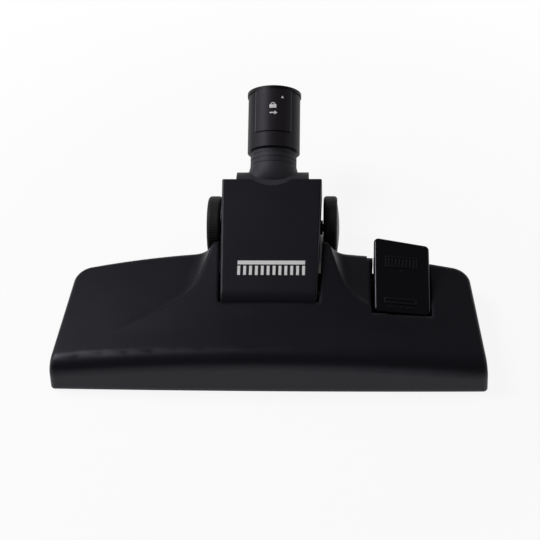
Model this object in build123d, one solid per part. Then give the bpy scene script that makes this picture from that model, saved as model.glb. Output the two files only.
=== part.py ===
from build123d import *
import os
from math import asin, atan2, cos, degrees, radians, sin, sqrt, tan

os.makedirs("parts", exist_ok=True)

# Head outline in plan: the origin is on the floor, +Y points back towards the tube
HEAD_WIDTH = 298.4
FRONT_Y = -51.0
REAR_Y = 54.0
SIDE_DRAW = 9.0
REAR_CORNER_Y = 42.5
REAR_CORNER_R = 15.0
SIDE_DRAFT = 2.5

# Heights and walls of the housing
RIM_Z = 2.0
TOP_Z = 33.3
WALL = 2.4
EDGE_R = 3.5

# Reach of cuts past the faces they open
TALL = 90.0
OVERCUT = 1.0

# Crown of the top and the leaning nose
CROWN_R = 1190.0
TOP_FALL = 1.45
TOP_REFERENCE_Y = -39.0
NOSE_LEAN = 6.0
NOSE_R = 12.0

# Hump between the wings: a saddle that rises to the rear, with a coved flank on each side
HUMP_R = 321.0
HUMP_LOW_Y = -20.7
HUMP_LOW_Z = 32.87
HUMP_LEAD = 1.5
HUMP_SWEEP = 18.0
HUMP_HALF = 112.0
CREST_TIP = (39.4, 62.0)
CREST_BEND = (49.8, 6.2)
CREST_END = (101.5, -30.0)
CREST_R = 39.0
COVE_R = 13.0
COVE_SINK = 0.05

# Link joint in the hump: a drum that turns about X
DRUM_Y = 15.0
DRUM_Z = 21.2
DRUM_R = 17.0
DRUM_GAP = 0.6
LINK_PITCH = 15.0
LINK_LENGTH = 84.8
COVER_THICK = 2.4
COVER_FIT = 0.1
COVER_FRONT_HALF = 33.2
COVER_REAR_HALF = 35.9
COVER_EDGE_R = 1.5
COVER_NOTCH_HALF = 14.0
COVER_NOTCH_DEPTH = 5.2
COVER_FRONT_ANGLE = 195.0
COVER_REACH = 2.4
SKIRT_DEPTH = 9.0
SKIRT_LOW = 17.0
SKIRT_STEP = (22.0, 34.0)
SLOT_LIP_HALF = 34.3
SLOT_REAR_HALF = 36.6
CHAMBER_FRONT_Y = -6.6
REAR_STRIP_Z = 6.0

# Frame of the link
FRAME_HALF = 31.0
FRAME_WALL = 2.4
FRAME_FLOOR = 2.2
FLOOR_FRONT = (24.0, 9.5)
FLOOR_REAR = (80.5, 30.5)
LINK_LOBE_R = 10.0
REAR_LOBE_R = 1.0
REAR_LOBE_BACK = 4.8
REAR_LOBE_DROP = 3.6
AXLE_LOBE_R = 8.0
TRUNNION_R = 5.0
TRUNNION_END = 43.4
TRUNNION_FIT = 0.06
CRADLE_START = 206.0
CRADLE_END = 250.0
CRADLE_WALL = 2.2

# Bearing blocks and caps for the trunnions
BEARING_END = 44.0
BEARING_HALF = 9.2
CAP_HEIGHT = 8.6
CAP_GAP = 0.3
CAP_SCREW_R = 1.1
CAP_SCREW_OFFSET = 7.2
CAP_SCREW_HEAD_R = 1.9
CAP_SCREW_HEAD = 1.6
CAP_SCREW_LENGTH = 14.0

# Felt seal in front of the drum
SEAL_GAP = 0.3
SEAL_THICK = 1.7
SEAL_LOW_Z = 13.0
SEAL_HIGH_Z = 20.0
SEAL_HALF = 32.6

# Wheels
WHEEL_Y = 82.0
WHEEL_R = 23.0
WHEEL_INNER = 36.9
WHEEL_WIDTH = 10.0
TYRE_THICK = 3.6
TYRE_ROUND = 2.4
HUB_RIM = 3.4
HUB_WEB = 2.6
HUB_SLEEVE_R = 6.0
HUB_PLAY = 0.15
CAP_DOME = 1.5
AXLE_R = 3.0
AXLE_FIT = 0.06
AXLE_HEAD_R = 4.6
AXLE_HEAD = 1.2
AXLE_INNER = 27.8
AXLE_BOSS_R = 5.4
WHEEL_SIDE_GAP = 0.5

# Screws that hold the cover on the frame
LINK_SCREW_X = 24.6
LINK_SCREW_STATIONS = (30.0, 58.0)
LINK_POST_R = 3.2
LINK_SCREW_R = 1.2
LINK_SCREW_HEAD_R = 2.4
LINK_SCREW_HEAD = 1.6
LINK_SCREW_DEPTH = 8.0

# Neck: a drum in the rear of the link, with the tube spigot
NECK_PITCH = 28.0
NECK_DRUM_R = 17.0
NECK_DRUM_HALF = 26.0
NECK_DRUM_WALL = 2.6
NECK_DRUM_GAP = 0.5
NECK_PIN_R = 5.0
NECK_PIN_FIT = 0.06
NECK_SECTIONS = ((7.0, 24.0, 15.2), (13.0, 19.8, 17.2))
NECK_BASE_END = 21.5
NECK_BORE_R = 12.4
NECK_WINDOW_START = 160.0
NECK_WINDOW_END = 238.0

# Swivel tube on the spigot
SPIGOT_R = 14.4
SPIGOT_END = 43.0
SWIVEL_FIT = 0.1
SWIVEL_START = 21.8
SWIVEL_R = 16.9
SWIVEL_SEAT_R = 16.2
SWIVEL_STEP = 32.0
SWIVEL_END = 45.0
SWIVEL_GROOVES = (24.4, 28.0)
GROOVE_WIDTH = 1.2
GROOVE_DEPTH = 0.3
RETAINER_START = 41.1
RETAINER_THICK = 1.2
RETAINER_DEPTH = 1.0
RETAINER_R = 15.6
RETAINER_GAP_ANGLE = 24.0
SEAL_RING_STATION = 25.5
SEAL_RING_WIDTH = 1.2
SEAL_RING_DEPTH = 1.0
SEAL_RING_PROUD = 0.04

# Twist-lock collar, which is the socket for the tube
COLLAR_START = 32.3
COLLAR_END = 78.2
COLLAR_R = 19.2
COLLAR_FIT = 0.1
COLLAR_RIM_R = 19.9
COLLAR_RIM = 2.6
SOCKET_R = 16.0
SOCKET_FLOOR = 47.3
COLLAR_LEDGE = 2.0
COLLAR_LEDGE_R = 14.6
COLLAR_RIB_STATION = 38.6
COLLAR_RIB = 1.4
COLLAR_RIB_DEPTH = 0.6
COLLAR_RIB_PLAY = 0.2
PANEL_ANGLE = 84.0
PANEL_RAISE = 0.9
PANEL_START = 43.6
PANEL_SHY = 0.5
PANEL_EDGE_R = 0.5

# Rocker pedal in its pocket
PEDAL_LEFT = 72.6
PEDAL_RIGHT = 111.2
PEDAL_FRONT_Y = -3.4
PEDAL_REAR_Y = 49.8
PEDAL_REAR_SKEW = 1.6
PEDAL_FRONT_Z = 28.5
PEDAL_REAR_Z = 43.6
PEDAL_BOTTOM_Z = 20.0
PEDAL_ROLL = 7.5
PEDAL_WALL = 1.8
PEDAL_EDGE_R = 1.6
PEDAL_CORNER_R = 3.4
PEDAL_PIVOT_Y = 16.0
PEDAL_PIVOT_Z = 19.4
PEDAL_PIN_R = 1.75
PEDAL_PIN_FIT = 0.06
PEDAL_BOSS_R = 4.0
PEDAL_BOSS = 4.0
PEDAL_TRAVEL = 16.0
ARM_REACH = 26.0
ARM_ANGLE = -5.0
ARM_X = 84.5
ARM_THICK = 3.0
ARM_WIDTH = 4.4
ARM_PIN_R = 2.0
ARM_PIN_END = 96.0
POCKET_GAP = 0.8
POCKET_LEFT_GAP = 1.8
POCKET_FRONT_GAP = 2.2
POCKET_REAR_GAP = 0.4
POCKET_WALL = 2.2
POCKET_BOTTOM_Z = 19.8
POCKET_LUG_HALF = 6.0
POCKET_LUG_Z = 13.6
POCKET_REAR_Y = 45.8
POCKET_CUT_Z = 8.0
NOTCH_WIDTH = 4.6
NOTCH_Z = 25.2

# Leaf spring under the pedal
LEAF_THICK = 0.5
LEAF_LEFT = 88.0
LEAF_RIGHT = 98.0
LEAF_SEAT_Z = 24.0
LEAF_LOW_Z = 15.0

# Bristle carriage and bristles
RAIL_WIDTH = 8.0
RAIL_HEIGHT = 7.0
RAIL_Z = 11.2
FRONT_RAIL_Y = -37.0
REAR_RAIL_Y = 33.0
RAIL_HALF = 124.0
REAR_RAIL_START = 46.0
CROSSBAR_X = 62.0
CROSSBAR_WIDTH = 7.0
BRISTLE_WIDTH = 3.0
BRISTLE_TIP_Z = 0.8
BRISTLE_SEAT = 3.0
TUFT_PITCH = 6.0
TUFT_LENGTH = 4.6
TUFT_ROOT = 2.0
SLOT_LUG_WALL = 1.2
SLOT_LUG_LEFT = 88.4
SLOT_LUG_RIGHT = 93.4
SLOT_CLEAR = 0.3
POST_R = 2.4
POST_FIT = 0.1
POST_X = 119.0
POST_TOP_Z = 19.4
EYE_R = 4.6

# Sole plate
SOLE_THICK = 3.2
SOLE_GAP = 0.3
SOLE_EDGE_R = 1.4
SOLE_FENCE_Z = 7.0
SOLE_FENCE = 1.6
MOUTH_HALF = 27.0
MOUTH_FRONT_Y = 3.5
MOUTH_REAR_Y = 27.0
CHANNEL_HALF = 112.0
CHANNEL_Y = 4.0
CHANNEL_WIDTH = 9.0
CHANNEL_DEPTH = 1.8
SLIT_GAP = 1.0
LIFTER_HALF = 60.0
LIFTER_WIDTH = 6.0
LIFTER_FRONT_Y = -22.0
LIFTER_REAR_Y = 42.0
LIFTER_REAR_HALF = 34.0
LIFTER_DEPTH = 1.0
LIFTER_SET = 0.15
SCREW_SPOTS = ((132.0, -12.0), (48.0, -12.0), (52.0, 22.0))
SCREW_R = 1.5
SCREW_HEAD_R = 3.0
SCREW_HEAD = 1.6
SCREW_LENGTH = 14.0
SCREW_CLEAR = 0.3
BOSS_R = 4.2

# Places worked out from the sizes above
pitch = radians(LINK_PITCH)
along = (cos(pitch), sin(pitch))
rear_corner_x = HEAD_WIDTH / 2 - SIDE_DRAW
crown_sweep = degrees(asin((HEAD_WIDTH / 2 + 2 * COVE_R) / CROWN_R))
across = (-sin(pitch), cos(pitch))
tangent = (DRUM_Y + DRUM_R * across[0], DRUM_Z + DRUM_R * across[1])
plate_end = (tangent[0] + LINK_LENGTH * along[0], tangent[1] + LINK_LENGTH * along[1])
neck_drop = NECK_DRUM_R + NECK_DRUM_GAP + COVER_THICK
neck_y = plate_end[0] - neck_drop * across[0]
neck_z = plate_end[1] - neck_drop * across[1]
neck_pitch = radians(NECK_PITCH)
neck_plane = Plane((0, neck_y, neck_z), x_dir=(1, 0, 0), z_dir=(0, cos(neck_pitch), sin(neck_pitch)))
wheel_outer = WHEEL_INNER + WHEEL_WIDTH


def yz_prism(face, x0, x1):
    """Pull a face drawn in Y and Z from x0 to x1."""
    return extrude(Plane.YZ.offset(x0) * face, x1 - x0)


def outline(*points):
    """Closed face through the given points."""
    return make_face(Polyline(*points, close=True))


def disc(y, z, radius):
    """Round face drawn in Y and Z."""
    return Pos(y, z) * Circle(radius)


def sector(y, z, radius, start, end):
    """Wedge of a disc about (y, z) between two angles."""
    middle = radians((start + end) / 2)
    first = radians(start)
    last = radians(end)
    arc = ThreePointArc(
        (y + radius * cos(first), z + radius * sin(first)),
        (y + radius * cos(middle), z + radius * sin(middle)),
        (y + radius * cos(last), z + radius * sin(last)),
    )
    return make_face([Line((y, z), arc @ 0), arc, Line(arc @ 1, (y, z))])


def x_pin(y, z, radius, x0, x1):
    """Round pin along X."""
    return yz_prism(disc(y, z, radius), x0, x1)


def box(x0, x1, y0, y1, z0, z1):
    """Box between two corners."""
    return Pos(x0, y0, z0) * Box(x1 - x0, y1 - y0, z1 - z0, align=(Align.MIN, Align.MIN, Align.MIN))


def post(x, y, radius, z0, z1):
    """Upright round post."""
    return Pos(x, y, z0) * Cylinder(radius, z1 - z0, align=(Align.CENTER, Align.CENTER, Align.MIN))


def both_sides(solid):
    """The solid and its mirror image across the middle."""
    return solid + mirror(solid, Plane.YZ)


def turned(*points):
    """Solid of revolution about the neck axis from (radius, station) points."""
    face = Plane.XZ * outline(*points)
    return neck_plane.location * revolve(face, Axis.Z, 360)


def tube(inner, outer, start, end):
    """Plain ring about the neck axis."""
    return turned((inner, start), (outer, start), (outer, end), (inner, end))


def side_slope():
    """How fast each side draws in from the front to the rear."""
    return (HEAD_WIDTH / 2 - rear_corner_x) / (REAR_CORNER_Y - FRONT_Y)


def plan_face(inset, front_y):
    """Outline of the head in plan, drawn in by an inset, from a front line to the bowed rear."""
    front_x = HEAD_WIDTH / 2 - inset - (front_y - FRONT_Y) * side_slope()
    rear_x = rear_corner_x - inset
    rear_y = REAR_CORNER_Y - inset
    face = make_face(
        [
            Line((-front_x, front_y), (front_x, front_y)),
            Line((front_x, front_y), (rear_x, rear_y)),
            ThreePointArc((rear_x, rear_y), (0, REAR_Y - inset), (-rear_x, rear_y)),
            Line((-rear_x, rear_y), (-front_x, front_y)),
        ]
    )
    rear_corners = face.vertices().group_by(Axis.Y)[-1]
    return fillet(rear_corners, REAR_CORNER_R - inset)


def plan_prism(inset):
    """Upright body of the head outline with drafted walls, open-ended in front of the nose."""
    face = plan_face(inset, FRONT_Y - 2 * NOSE_R)
    return extrude(Pos(0, 0, RIM_Z - inset) * face, TALL, taper=SIDE_DRAFT)


def crown_sag(half):
    """Fall of the crown from the middle to a half width."""
    return CROWN_R - sqrt(CROWN_R**2 - half**2)


def top_height(y, inset):
    """Height of the wing top at the middle of the head."""
    return TOP_Z - inset - (y - TOP_REFERENCE_Y) * tan(radians(TOP_FALL))


def crown_solid(inset):
    """Everything under the crowned top and behind the leaning nose."""
    lean = tan(radians(NOSE_LEAN))
    fall = tan(radians(TOP_FALL))
    foot_y = FRONT_Y + inset - RIM_Z * lean
    edge_z = (top_height(0, inset) - foot_y * fall) / (1 + lean * fall)
    edge_y = foot_y + edge_z * lean
    profile = outline(
        (foot_y - TALL * lean, -TALL),
        (edge_y, edge_z),
        (TALL, top_height(TALL, inset)),
        (TALL, -TALL),
    )
    edge = profile.vertices().sort_by_distance((edge_y, edge_z, 0))[0]
    profile = fillet(edge, NOSE_R - inset)
    axis = Axis((0, 0, TOP_Z - CROWN_R), (0, 1, 0))
    return revolve(Plane.YZ * profile, axis, 2 * crown_sweep).rotate(axis, -crown_sweep)


def crest_path(inset):
    """Wall line of the right-hand flank, moved towards the middle by an inset."""
    first = atan2(CREST_BEND[1] - CREST_TIP[1], CREST_BEND[0] - CREST_TIP[0])
    last = atan2(CREST_END[1] - CREST_BEND[1], CREST_END[0] - CREST_BEND[0])
    normal_x = -sin(first) - sin(last)
    normal_y = cos(first) + cos(last)
    share = inset / (1 + cos(last - first))
    corners = (CREST_TIP, CREST_BEND, CREST_END)
    points = [(x - share * normal_x, y - share * normal_y) for x, y in corners]
    return points, FilletPolyline(*points, radius=CREST_R + inset)


def saddle_solid(inset):
    """Everything under the rising top of the hump."""
    top = HUMP_LOW_Z - inset
    sag = crown_sag(HUMP_HALF)
    profile = make_face(
        [
            ThreePointArc((-HUMP_HALF, top - sag), (0, top), (HUMP_HALF, top - sag)),
            Line((HUMP_HALF, top - sag), (HUMP_HALF, RIM_Z)),
            Line((HUMP_HALF, RIM_Z), (-HUMP_HALF, RIM_Z)),
            Line((-HUMP_HALF, RIM_Z), (-HUMP_HALF, top - sag)),
        ]
    )
    axis = Axis((0, HUMP_LOW_Y, HUMP_LOW_Z + HUMP_R), (1, 0, 0))
    start = (Pos(0, HUMP_LOW_Y, 0) * (Plane.XZ * profile)).rotate(axis, -HUMP_LEAD)
    return revolve(start, axis, HUMP_LEAD + HUMP_SWEEP)


def flank_cutter():
    """Space over the right wing, with the cove along its foot."""
    points, path = crest_path(0)
    outside = HEAD_WIDTH / 2 + COVE_R
    region = make_face(
        path.edges()
        + [
            Line(points[2], (outside, points[2][1])),
            Line((outside, points[2][1]), (outside, points[0][1])),
            Line((outside, points[0][1]), points[0]),
        ]
    )
    space = extrude(region, TALL) - crown_solid(COVE_SINK)
    foot_face = space.faces().sort_by(Axis.Z)[0]
    foot = [edge for edge in foot_face.edges() if is_foot(edge, points)]
    return fillet(foot, COVE_R)


def is_foot(edge, points):
    """Whether an edge of the flank space lies along the crest path."""
    middle = edge @ 0.5
    return middle.X < points[2][0] and points[2][1] + WALL < middle.Y < points[0][1] - WALL


def outer_form():
    """Outer form of the housing: wings, nose, hump and cheeks."""
    prism = plan_prism(0)
    wings = prism & crown_solid(0)
    cutter = flank_cutter()
    hump = (saddle_solid(0) & prism) - cutter - mirror(cutter, Plane.YZ)
    form = wings + hump
    return fillet([edge for edge in form.edges() if is_rounded(edge)], EDGE_R)


def is_rounded(edge):
    """Whether an edge runs over the nose corner, along a side or along the rear of the wings."""
    middle = edge @ 0.5
    inset = (middle.Z - RIM_Z) * tan(radians(SIDE_DRAFT))
    side_x = HEAD_WIDTH / 2 - (middle.Y - FRONT_Y) * side_slope() - inset
    bow = (REAR_Y - REAR_CORNER_Y) / rear_corner_x**2
    rear_y = REAR_Y - bow * middle.X**2 - inset
    on_side = abs(abs(middle.X) - side_x) < WALL
    on_rear = middle.Y > rear_y - WALL and abs(middle.X) > COVER_REAR_HALF
    at_nose = middle.Y < FRONT_Y + NOSE_R and middle.Z > RIM_Z + WALL
    at_top = TOP_Z / 2 < middle.Z < TOP_Z + EDGE_R
    return (on_side and (at_nose or at_top)) or (on_rear and at_top)


def inner_form():
    """Hollow of the housing, open at the bottom."""
    points, path = crest_path(WALL)
    left = mirror(path, Plane.YZ)
    region = make_face(
        path.edges()
        + left.edges()
        + [
            Line(points[0], (-points[0][0], points[0][1])),
            Line(points[2], (-points[2][0], points[2][1])),
        ]
    )
    hump = extrude(region, TALL) & saddle_solid(WALL) & plan_prism(WALL)
    return (plan_prism(WALL) & crown_solid(WALL)) + hump


def slot_half(y):
    """Half width of the slot for the link at a place along Y."""
    share = (y - CHAMBER_FRONT_Y) / (REAR_Y - CHAMBER_FRONT_Y)
    return SLOT_LIP_HALF + (SLOT_REAR_HALF - SLOT_LIP_HALF) * share


def link_slot(margin):
    """Space between the cheeks for the link, widened by a margin."""
    front = slot_half(CHAMBER_FRONT_Y) + margin
    rear = slot_half(TALL) + margin
    plan = outline((-front, CHAMBER_FRONT_Y), (front, CHAMBER_FRONT_Y), (rear, TALL), (-rear, TALL))
    clear = DRUM_R + DRUM_GAP
    front_y = DRUM_Y - clear
    rear_y = DRUM_Y + clear
    bottom = RIM_Z - WALL
    side = disc(DRUM_Y, DRUM_Z, clear)
    side += outline((front_y, bottom), (rear_y, bottom), (rear_y, DRUM_Z), (front_y, DRUM_Z))
    side += outline((DRUM_Y, REAR_STRIP_Z), (TALL, REAR_STRIP_Z), (TALL, TALL), (DRUM_Y, TALL))
    return extrude(plan, TALL) & yz_prism(side, -HEAD_WIDTH, HEAD_WIDTH)


def pocket_span():
    """Inner left and right faces of the pedal pocket."""
    return PEDAL_LEFT - POCKET_LEFT_GAP, PEDAL_RIGHT + POCKET_GAP


def seal_profile(gap):
    """Section of the felt seal, grown by a gap at its ends."""
    inner = DRUM_R + SEAL_GAP
    outer = inner + SEAL_THICK
    ring = disc(DRUM_Y, DRUM_Z, outer) - disc(DRUM_Y, DRUM_Z, inner)
    window = outline(
        (DRUM_Y - 2 * outer, SEAL_LOW_Z - gap),
        (DRUM_Y, SEAL_LOW_Z - gap),
        (DRUM_Y, SEAL_HIGH_Z + gap),
        (DRUM_Y - 2 * outer, SEAL_HIGH_Z + gap),
    )
    return ring & window


def upper_housing():
    """Shell with the link slot, bearing blocks, pedal pocket and screw bosses."""
    outer = outer_form()
    hollow = inner_form()
    left, right = pocket_span()
    front = PEDAL_FRONT_Y - POCKET_FRONT_GAP
    wall_half = slot_half(REAR_Y) + WALL
    lip_half = SLOT_LIP_HALF + WALL
    inside = box(-wall_half, wall_half, CHAMBER_FRONT_Y, REAR_Y, SOLE_THICK, TALL) & link_slot(WALL)
    inside += box(-lip_half, lip_half, CHAMBER_FRONT_Y, DRUM_Y - DRUM_R, SOLE_THICK, TALL)
    bearing = box(SLOT_LIP_HALF, BEARING_END, DRUM_Y - BEARING_HALF, DRUM_Y + BEARING_HALF, DRUM_Z, TALL)
    inside += both_sides(bearing)
    for x, y in SCREW_SPOTS:
        inside += both_sides(post(x, y, BOSS_R, SOLE_THICK, TALL))
    wall_left = left - POCKET_WALL
    wall_right = right + POCKET_WALL
    lug_front = PEDAL_PIVOT_Y - POCKET_LUG_HALF
    lug_rear = PEDAL_PIVOT_Y + POCKET_LUG_HALF
    inside += box(wall_left, wall_right, front - POCKET_WALL, REAR_Y, POCKET_BOTTOM_Z, TALL)
    inside += box(wall_left, wall_right, lug_front, lug_rear, POCKET_LUG_Z, TALL)
    body = outer - (hollow - inside)
    body -= link_slot(0)
    body -= yz_prism(seal_profile(0), -SEAL_HALF, SEAL_HALF)
    behind = REAR_Y + WALL
    body -= box(left, right, front, POCKET_REAR_Y, POCKET_LUG_Z, TALL)
    body -= box(PEDAL_LEFT - POCKET_REAR_GAP, right, REAR_RAIL_Y, behind, POCKET_CUT_Z, TALL)
    body -= box(PEDAL_LEFT - NOTCH_WIDTH, right, POCKET_REAR_Y, behind, NOTCH_Z, TALL)
    bore_r = TRUNNION_R + TRUNNION_FIT
    trunnion = x_pin(DRUM_Y, DRUM_Z, bore_r, 0, BEARING_END)
    entry = box(0, BEARING_END, DRUM_Y - bore_r, DRUM_Y + bore_r, 0, DRUM_Z)
    body -= both_sides(trunnion + entry)
    body -= x_pin(PEDAL_PIVOT_Y, PEDAL_PIVOT_Z, PEDAL_PIN_R, wall_left, wall_right)
    for x, y in SCREW_SPOTS:
        body -= both_sides(post(x, y, SCREW_R, 0, SCREW_LENGTH + SCREW_HEAD))
    for y in (DRUM_Y - CAP_SCREW_OFFSET, DRUM_Y + CAP_SCREW_OFFSET):
        body -= both_sides(cap_screw(y))
    return body.solids().sort_by(SortBy.VOLUME)[-1]


def cap_screw_x():
    """Place of the cap screws along X."""
    return (slot_half(DRUM_Y) + WALL + BEARING_END) / 2


def cap_screw(y):
    """Shank of a trunnion cap screw on the right-hand side."""
    base = DRUM_Z - CAP_HEIGHT
    return post(cap_screw_x(), y, CAP_SCREW_R, base, base + CAP_SCREW_LENGTH)


def trunnion_cap():
    """Lower half of the right-hand bearing."""
    inner = slot_half(DRUM_Y + BEARING_HALF) + WALL + CAP_GAP
    front_y = DRUM_Y - BEARING_HALF
    rear_y = DRUM_Y + BEARING_HALF
    cap = box(inner, BEARING_END, front_y, rear_y, DRUM_Z - CAP_HEIGHT, DRUM_Z)
    cap -= x_pin(DRUM_Y, DRUM_Z, TRUNNION_R + TRUNNION_FIT, 0, BEARING_END)
    for y in (DRUM_Y - CAP_SCREW_OFFSET, DRUM_Y + CAP_SCREW_OFFSET):
        cap -= cap_screw(y)
    return cap


def cap_screws():
    """Four screws that hold the trunnion caps."""
    group = []
    base = DRUM_Z - CAP_HEIGHT
    for y in (DRUM_Y - CAP_SCREW_OFFSET, DRUM_Y + CAP_SCREW_OFFSET):
        screw = cap_screw(y)
        screw += post(cap_screw_x(), y, CAP_SCREW_HEAD_R, base - CAP_SCREW_HEAD, base)
        group += [screw, mirror(screw, Plane.YZ)]
    return Compound(children=[part.solid() for part in group])


def sole_plate():
    """Plate with the suction mouth, bristle slits, lint channels, fence and guide posts."""
    inset = WALL + SOLE_GAP
    bow = crown_sag(HEAD_WIDTH / 2) * tan(radians(NOSE_LEAN))
    front_y = FRONT_Y + inset + bow
    plate = extrude(plan_face(inset, front_y), SOLE_THICK)
    plate = fillet(plate.faces().sort_by(Axis.Z)[0].edges(), SOLE_EDGE_R)
    outside = plan_face(inset + SOLE_GAP, front_y + 2 * SOLE_GAP)
    inside = plan_face(inset + SOLE_GAP + SOLE_FENCE, front_y + 2 * SOLE_GAP + SOLE_FENCE)
    fence = extrude(outside, SOLE_FENCE_Z) - extrude(inside, SOLE_FENCE_Z)
    fence -= box(-HEAD_WIDTH, HEAD_WIDTH, FRONT_Y, REAR_Y, 0, SOLE_THICK)
    fence -= box(-SLOT_REAR_HALF - 2 * WALL, SLOT_REAR_HALF + 2 * WALL, 0, REAR_Y, 0, TALL)
    left, right = pocket_span()
    fence -= box(left - 2 * WALL, right + 2 * WALL, 0, REAR_Y, 0, TALL)
    plate += fence
    plate -= box(-MOUTH_HALF, MOUTH_HALF, MOUTH_FRONT_Y, MOUTH_REAR_Y, -OVERCUT, TALL)
    channel_end = CHANNEL_Y + CHANNEL_WIDTH
    channel = box(MOUTH_HALF - WALL, CHANNEL_HALF, CHANNEL_Y, channel_end, -OVERCUT, CHANNEL_DEPTH)
    plate -= both_sides(channel)
    slit = BRISTLE_WIDTH / 2 + SLIT_GAP
    plate -= box(-RAIL_HALF, RAIL_HALF, FRONT_RAIL_Y - slit, FRONT_RAIL_Y + slit, -OVERCUT, TALL)
    rear_slit = box(REAR_RAIL_START, RAIL_HALF, REAR_RAIL_Y - slit, REAR_RAIL_Y + slit, -OVERCUT, TALL)
    plate -= both_sides(rear_slit)
    plate -= lifter(LIFTER_HALF, LIFTER_FRONT_Y, 0)
    plate -= lifter(LIFTER_REAR_HALF, LIFTER_REAR_Y, 0)
    for x, y in guide_spots():
        plate += both_sides(post(x, y, POST_R, SOLE_THICK, POST_TOP_Z))
    for x, y in SCREW_SPOTS:
        plate -= both_sides(post(x, y, SCREW_R + SCREW_CLEAR, -OVERCUT, TALL))
        plate -= both_sides(post(x, y, SCREW_HEAD_R + SCREW_CLEAR, -OVERCUT, SCREW_HEAD))
    return plate


def guide_spots():
    """Places of the right-hand carriage guides."""
    offset = RAIL_WIDTH / 2 + POST_R
    return ((POST_X, FRONT_RAIL_Y + offset), (POST_X, REAR_RAIL_Y - offset))


def lifter(half, y, lift):
    """Lint strip let into the sole, lifted clear of the floor."""
    return box(-half, half, y - LIFTER_WIDTH / 2, y + LIFTER_WIDTH / 2, lift, LIFTER_DEPTH)


def sole_screws():
    """Six screws that hold the sole plate."""
    group = []
    for x, y in SCREW_SPOTS:
        screw = post(x, y, SCREW_R, SCREW_HEAD, SCREW_HEAD + SCREW_LENGTH)
        screw += post(x, y, SCREW_HEAD_R, SCREW_CLEAR, SCREW_HEAD)
        group += [screw, mirror(screw, Plane.YZ)]
    return Compound(children=[part.solid() for part in group])


def link_frame():
    """Side walls, floor, trunnions, axle bosses and neck cradle of the link."""
    lobe_y = plate_end[0] - REAR_LOBE_BACK * along[0] - REAR_LOBE_DROP * across[0]
    lobe_z = plate_end[1] - REAR_LOBE_BACK * along[1] - REAR_LOBE_DROP * across[1]
    discs = [
        disc(DRUM_Y, DRUM_Z, DRUM_R - COVER_THICK - COVER_FIT),
        disc(neck_y, neck_z, LINK_LOBE_R),
        disc(WHEEL_Y, WHEEL_R, AXLE_LOBE_R),
        disc(lobe_y, lobe_z, REAR_LOBE_R),
    ]
    side = make_hull([edge for face in discs for edge in face.edges()])
    frame = both_sides(yz_prism(side, FRAME_HALF - FRAME_WALL, FRAME_HALF))
    slope = atan2(FLOOR_REAR[1] - FLOOR_FRONT[1], FLOOR_REAR[0] - FLOOR_FRONT[0])
    under = (FRAME_FLOOR * sin(slope), -FRAME_FLOOR * cos(slope))
    floor = outline(
        FLOOR_FRONT,
        FLOOR_REAR,
        (FLOOR_REAR[0] + under[0], FLOOR_REAR[1] + under[1]),
        (FLOOR_FRONT[0] + under[0], FLOOR_FRONT[1] + under[1]),
    )
    clear = NECK_DRUM_R + NECK_DRUM_GAP
    cradle = sector(neck_y, neck_z, clear + CRADLE_WALL, CRADLE_START, CRADLE_END)
    floor = floor + cradle - disc(neck_y, neck_z, clear)
    frame += yz_prism(floor, -FRAME_HALF + FRAME_WALL, FRAME_HALF - FRAME_WALL)
    boss_end = WHEEL_INNER - WHEEL_SIDE_GAP
    frame += both_sides(x_pin(WHEEL_Y, WHEEL_R, AXLE_BOSS_R, FRAME_HALF, boss_end))
    frame += both_sides(x_pin(DRUM_Y, DRUM_Z, TRUNNION_R, FRAME_HALF, TRUNNION_END))
    for x, y, z in link_screw_spots():
        frame -= both_sides(link_screw_shank(x, y, z))
    frame -= both_sides(x_pin(WHEEL_Y, WHEEL_R, AXLE_R, 0, WHEEL_INNER))
    frame -= both_sides(x_pin(neck_y, neck_z, NECK_PIN_R + NECK_PIN_FIT, 0, FRAME_HALF))
    return frame


def link_screw_spots():
    """Places on the floor top where the right-hand link screws come through."""
    slope = (FLOOR_REAR[1] - FLOOR_FRONT[1]) / (FLOOR_REAR[0] - FLOOR_FRONT[0])
    spots = []
    for station in LINK_SCREW_STATIONS:
        y = tangent[0] + station * along[0]
        spots.append((LINK_SCREW_X, y, FLOOR_FRONT[1] + (y - FLOOR_FRONT[0]) * slope))
    return spots


def link_screw_shank(x, y, z):
    """Shank of a link screw."""
    return post(x, y, LINK_SCREW_R, z - 2 * FRAME_FLOOR, z + LINK_SCREW_DEPTH)


def link_screws():
    """Four screws through the frame floor into the cover posts."""
    group = []
    for x, y, z in link_screw_spots():
        slope = atan2(FLOOR_REAR[1] - FLOOR_FRONT[1], FLOOR_REAR[0] - FLOOR_FRONT[0])
        base = z - FRAME_FLOOR / cos(slope) - LINK_SCREW_HEAD_R * tan(slope)
        screw = post(x, y, LINK_SCREW_R, base, z + LINK_SCREW_DEPTH)
        screw += post(x, y, LINK_SCREW_HEAD_R, base - LINK_SCREW_HEAD, base)
        group += [screw, mirror(screw, Plane.YZ)]
    return Compound(children=[part.solid() for part in group])


def plate_height(y):
    """Height of the top of the cover plate at a place along Y."""
    return tangent[1] + (y - tangent[0]) * tan(pitch)


def is_plate_side(edge):
    """Whether an edge runs along a side of the top of the cover plate."""
    middle = edge @ 0.5
    at_side = abs(middle.X) > COVER_FRONT_HALF - COVER_EDGE_R
    on_top = abs(middle.Z - plate_height(middle.Y)) < COVER_FIT
    return at_side and on_top and edge.length > LINK_LENGTH / 2


def plate_point(station, depth):
    """Point under the cover plate's top, at a station behind the drum and a depth."""
    y = tangent[0] + station * along[0] - depth * across[0]
    z = tangent[1] + station * along[1] - depth * across[1]
    return y, z


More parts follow.
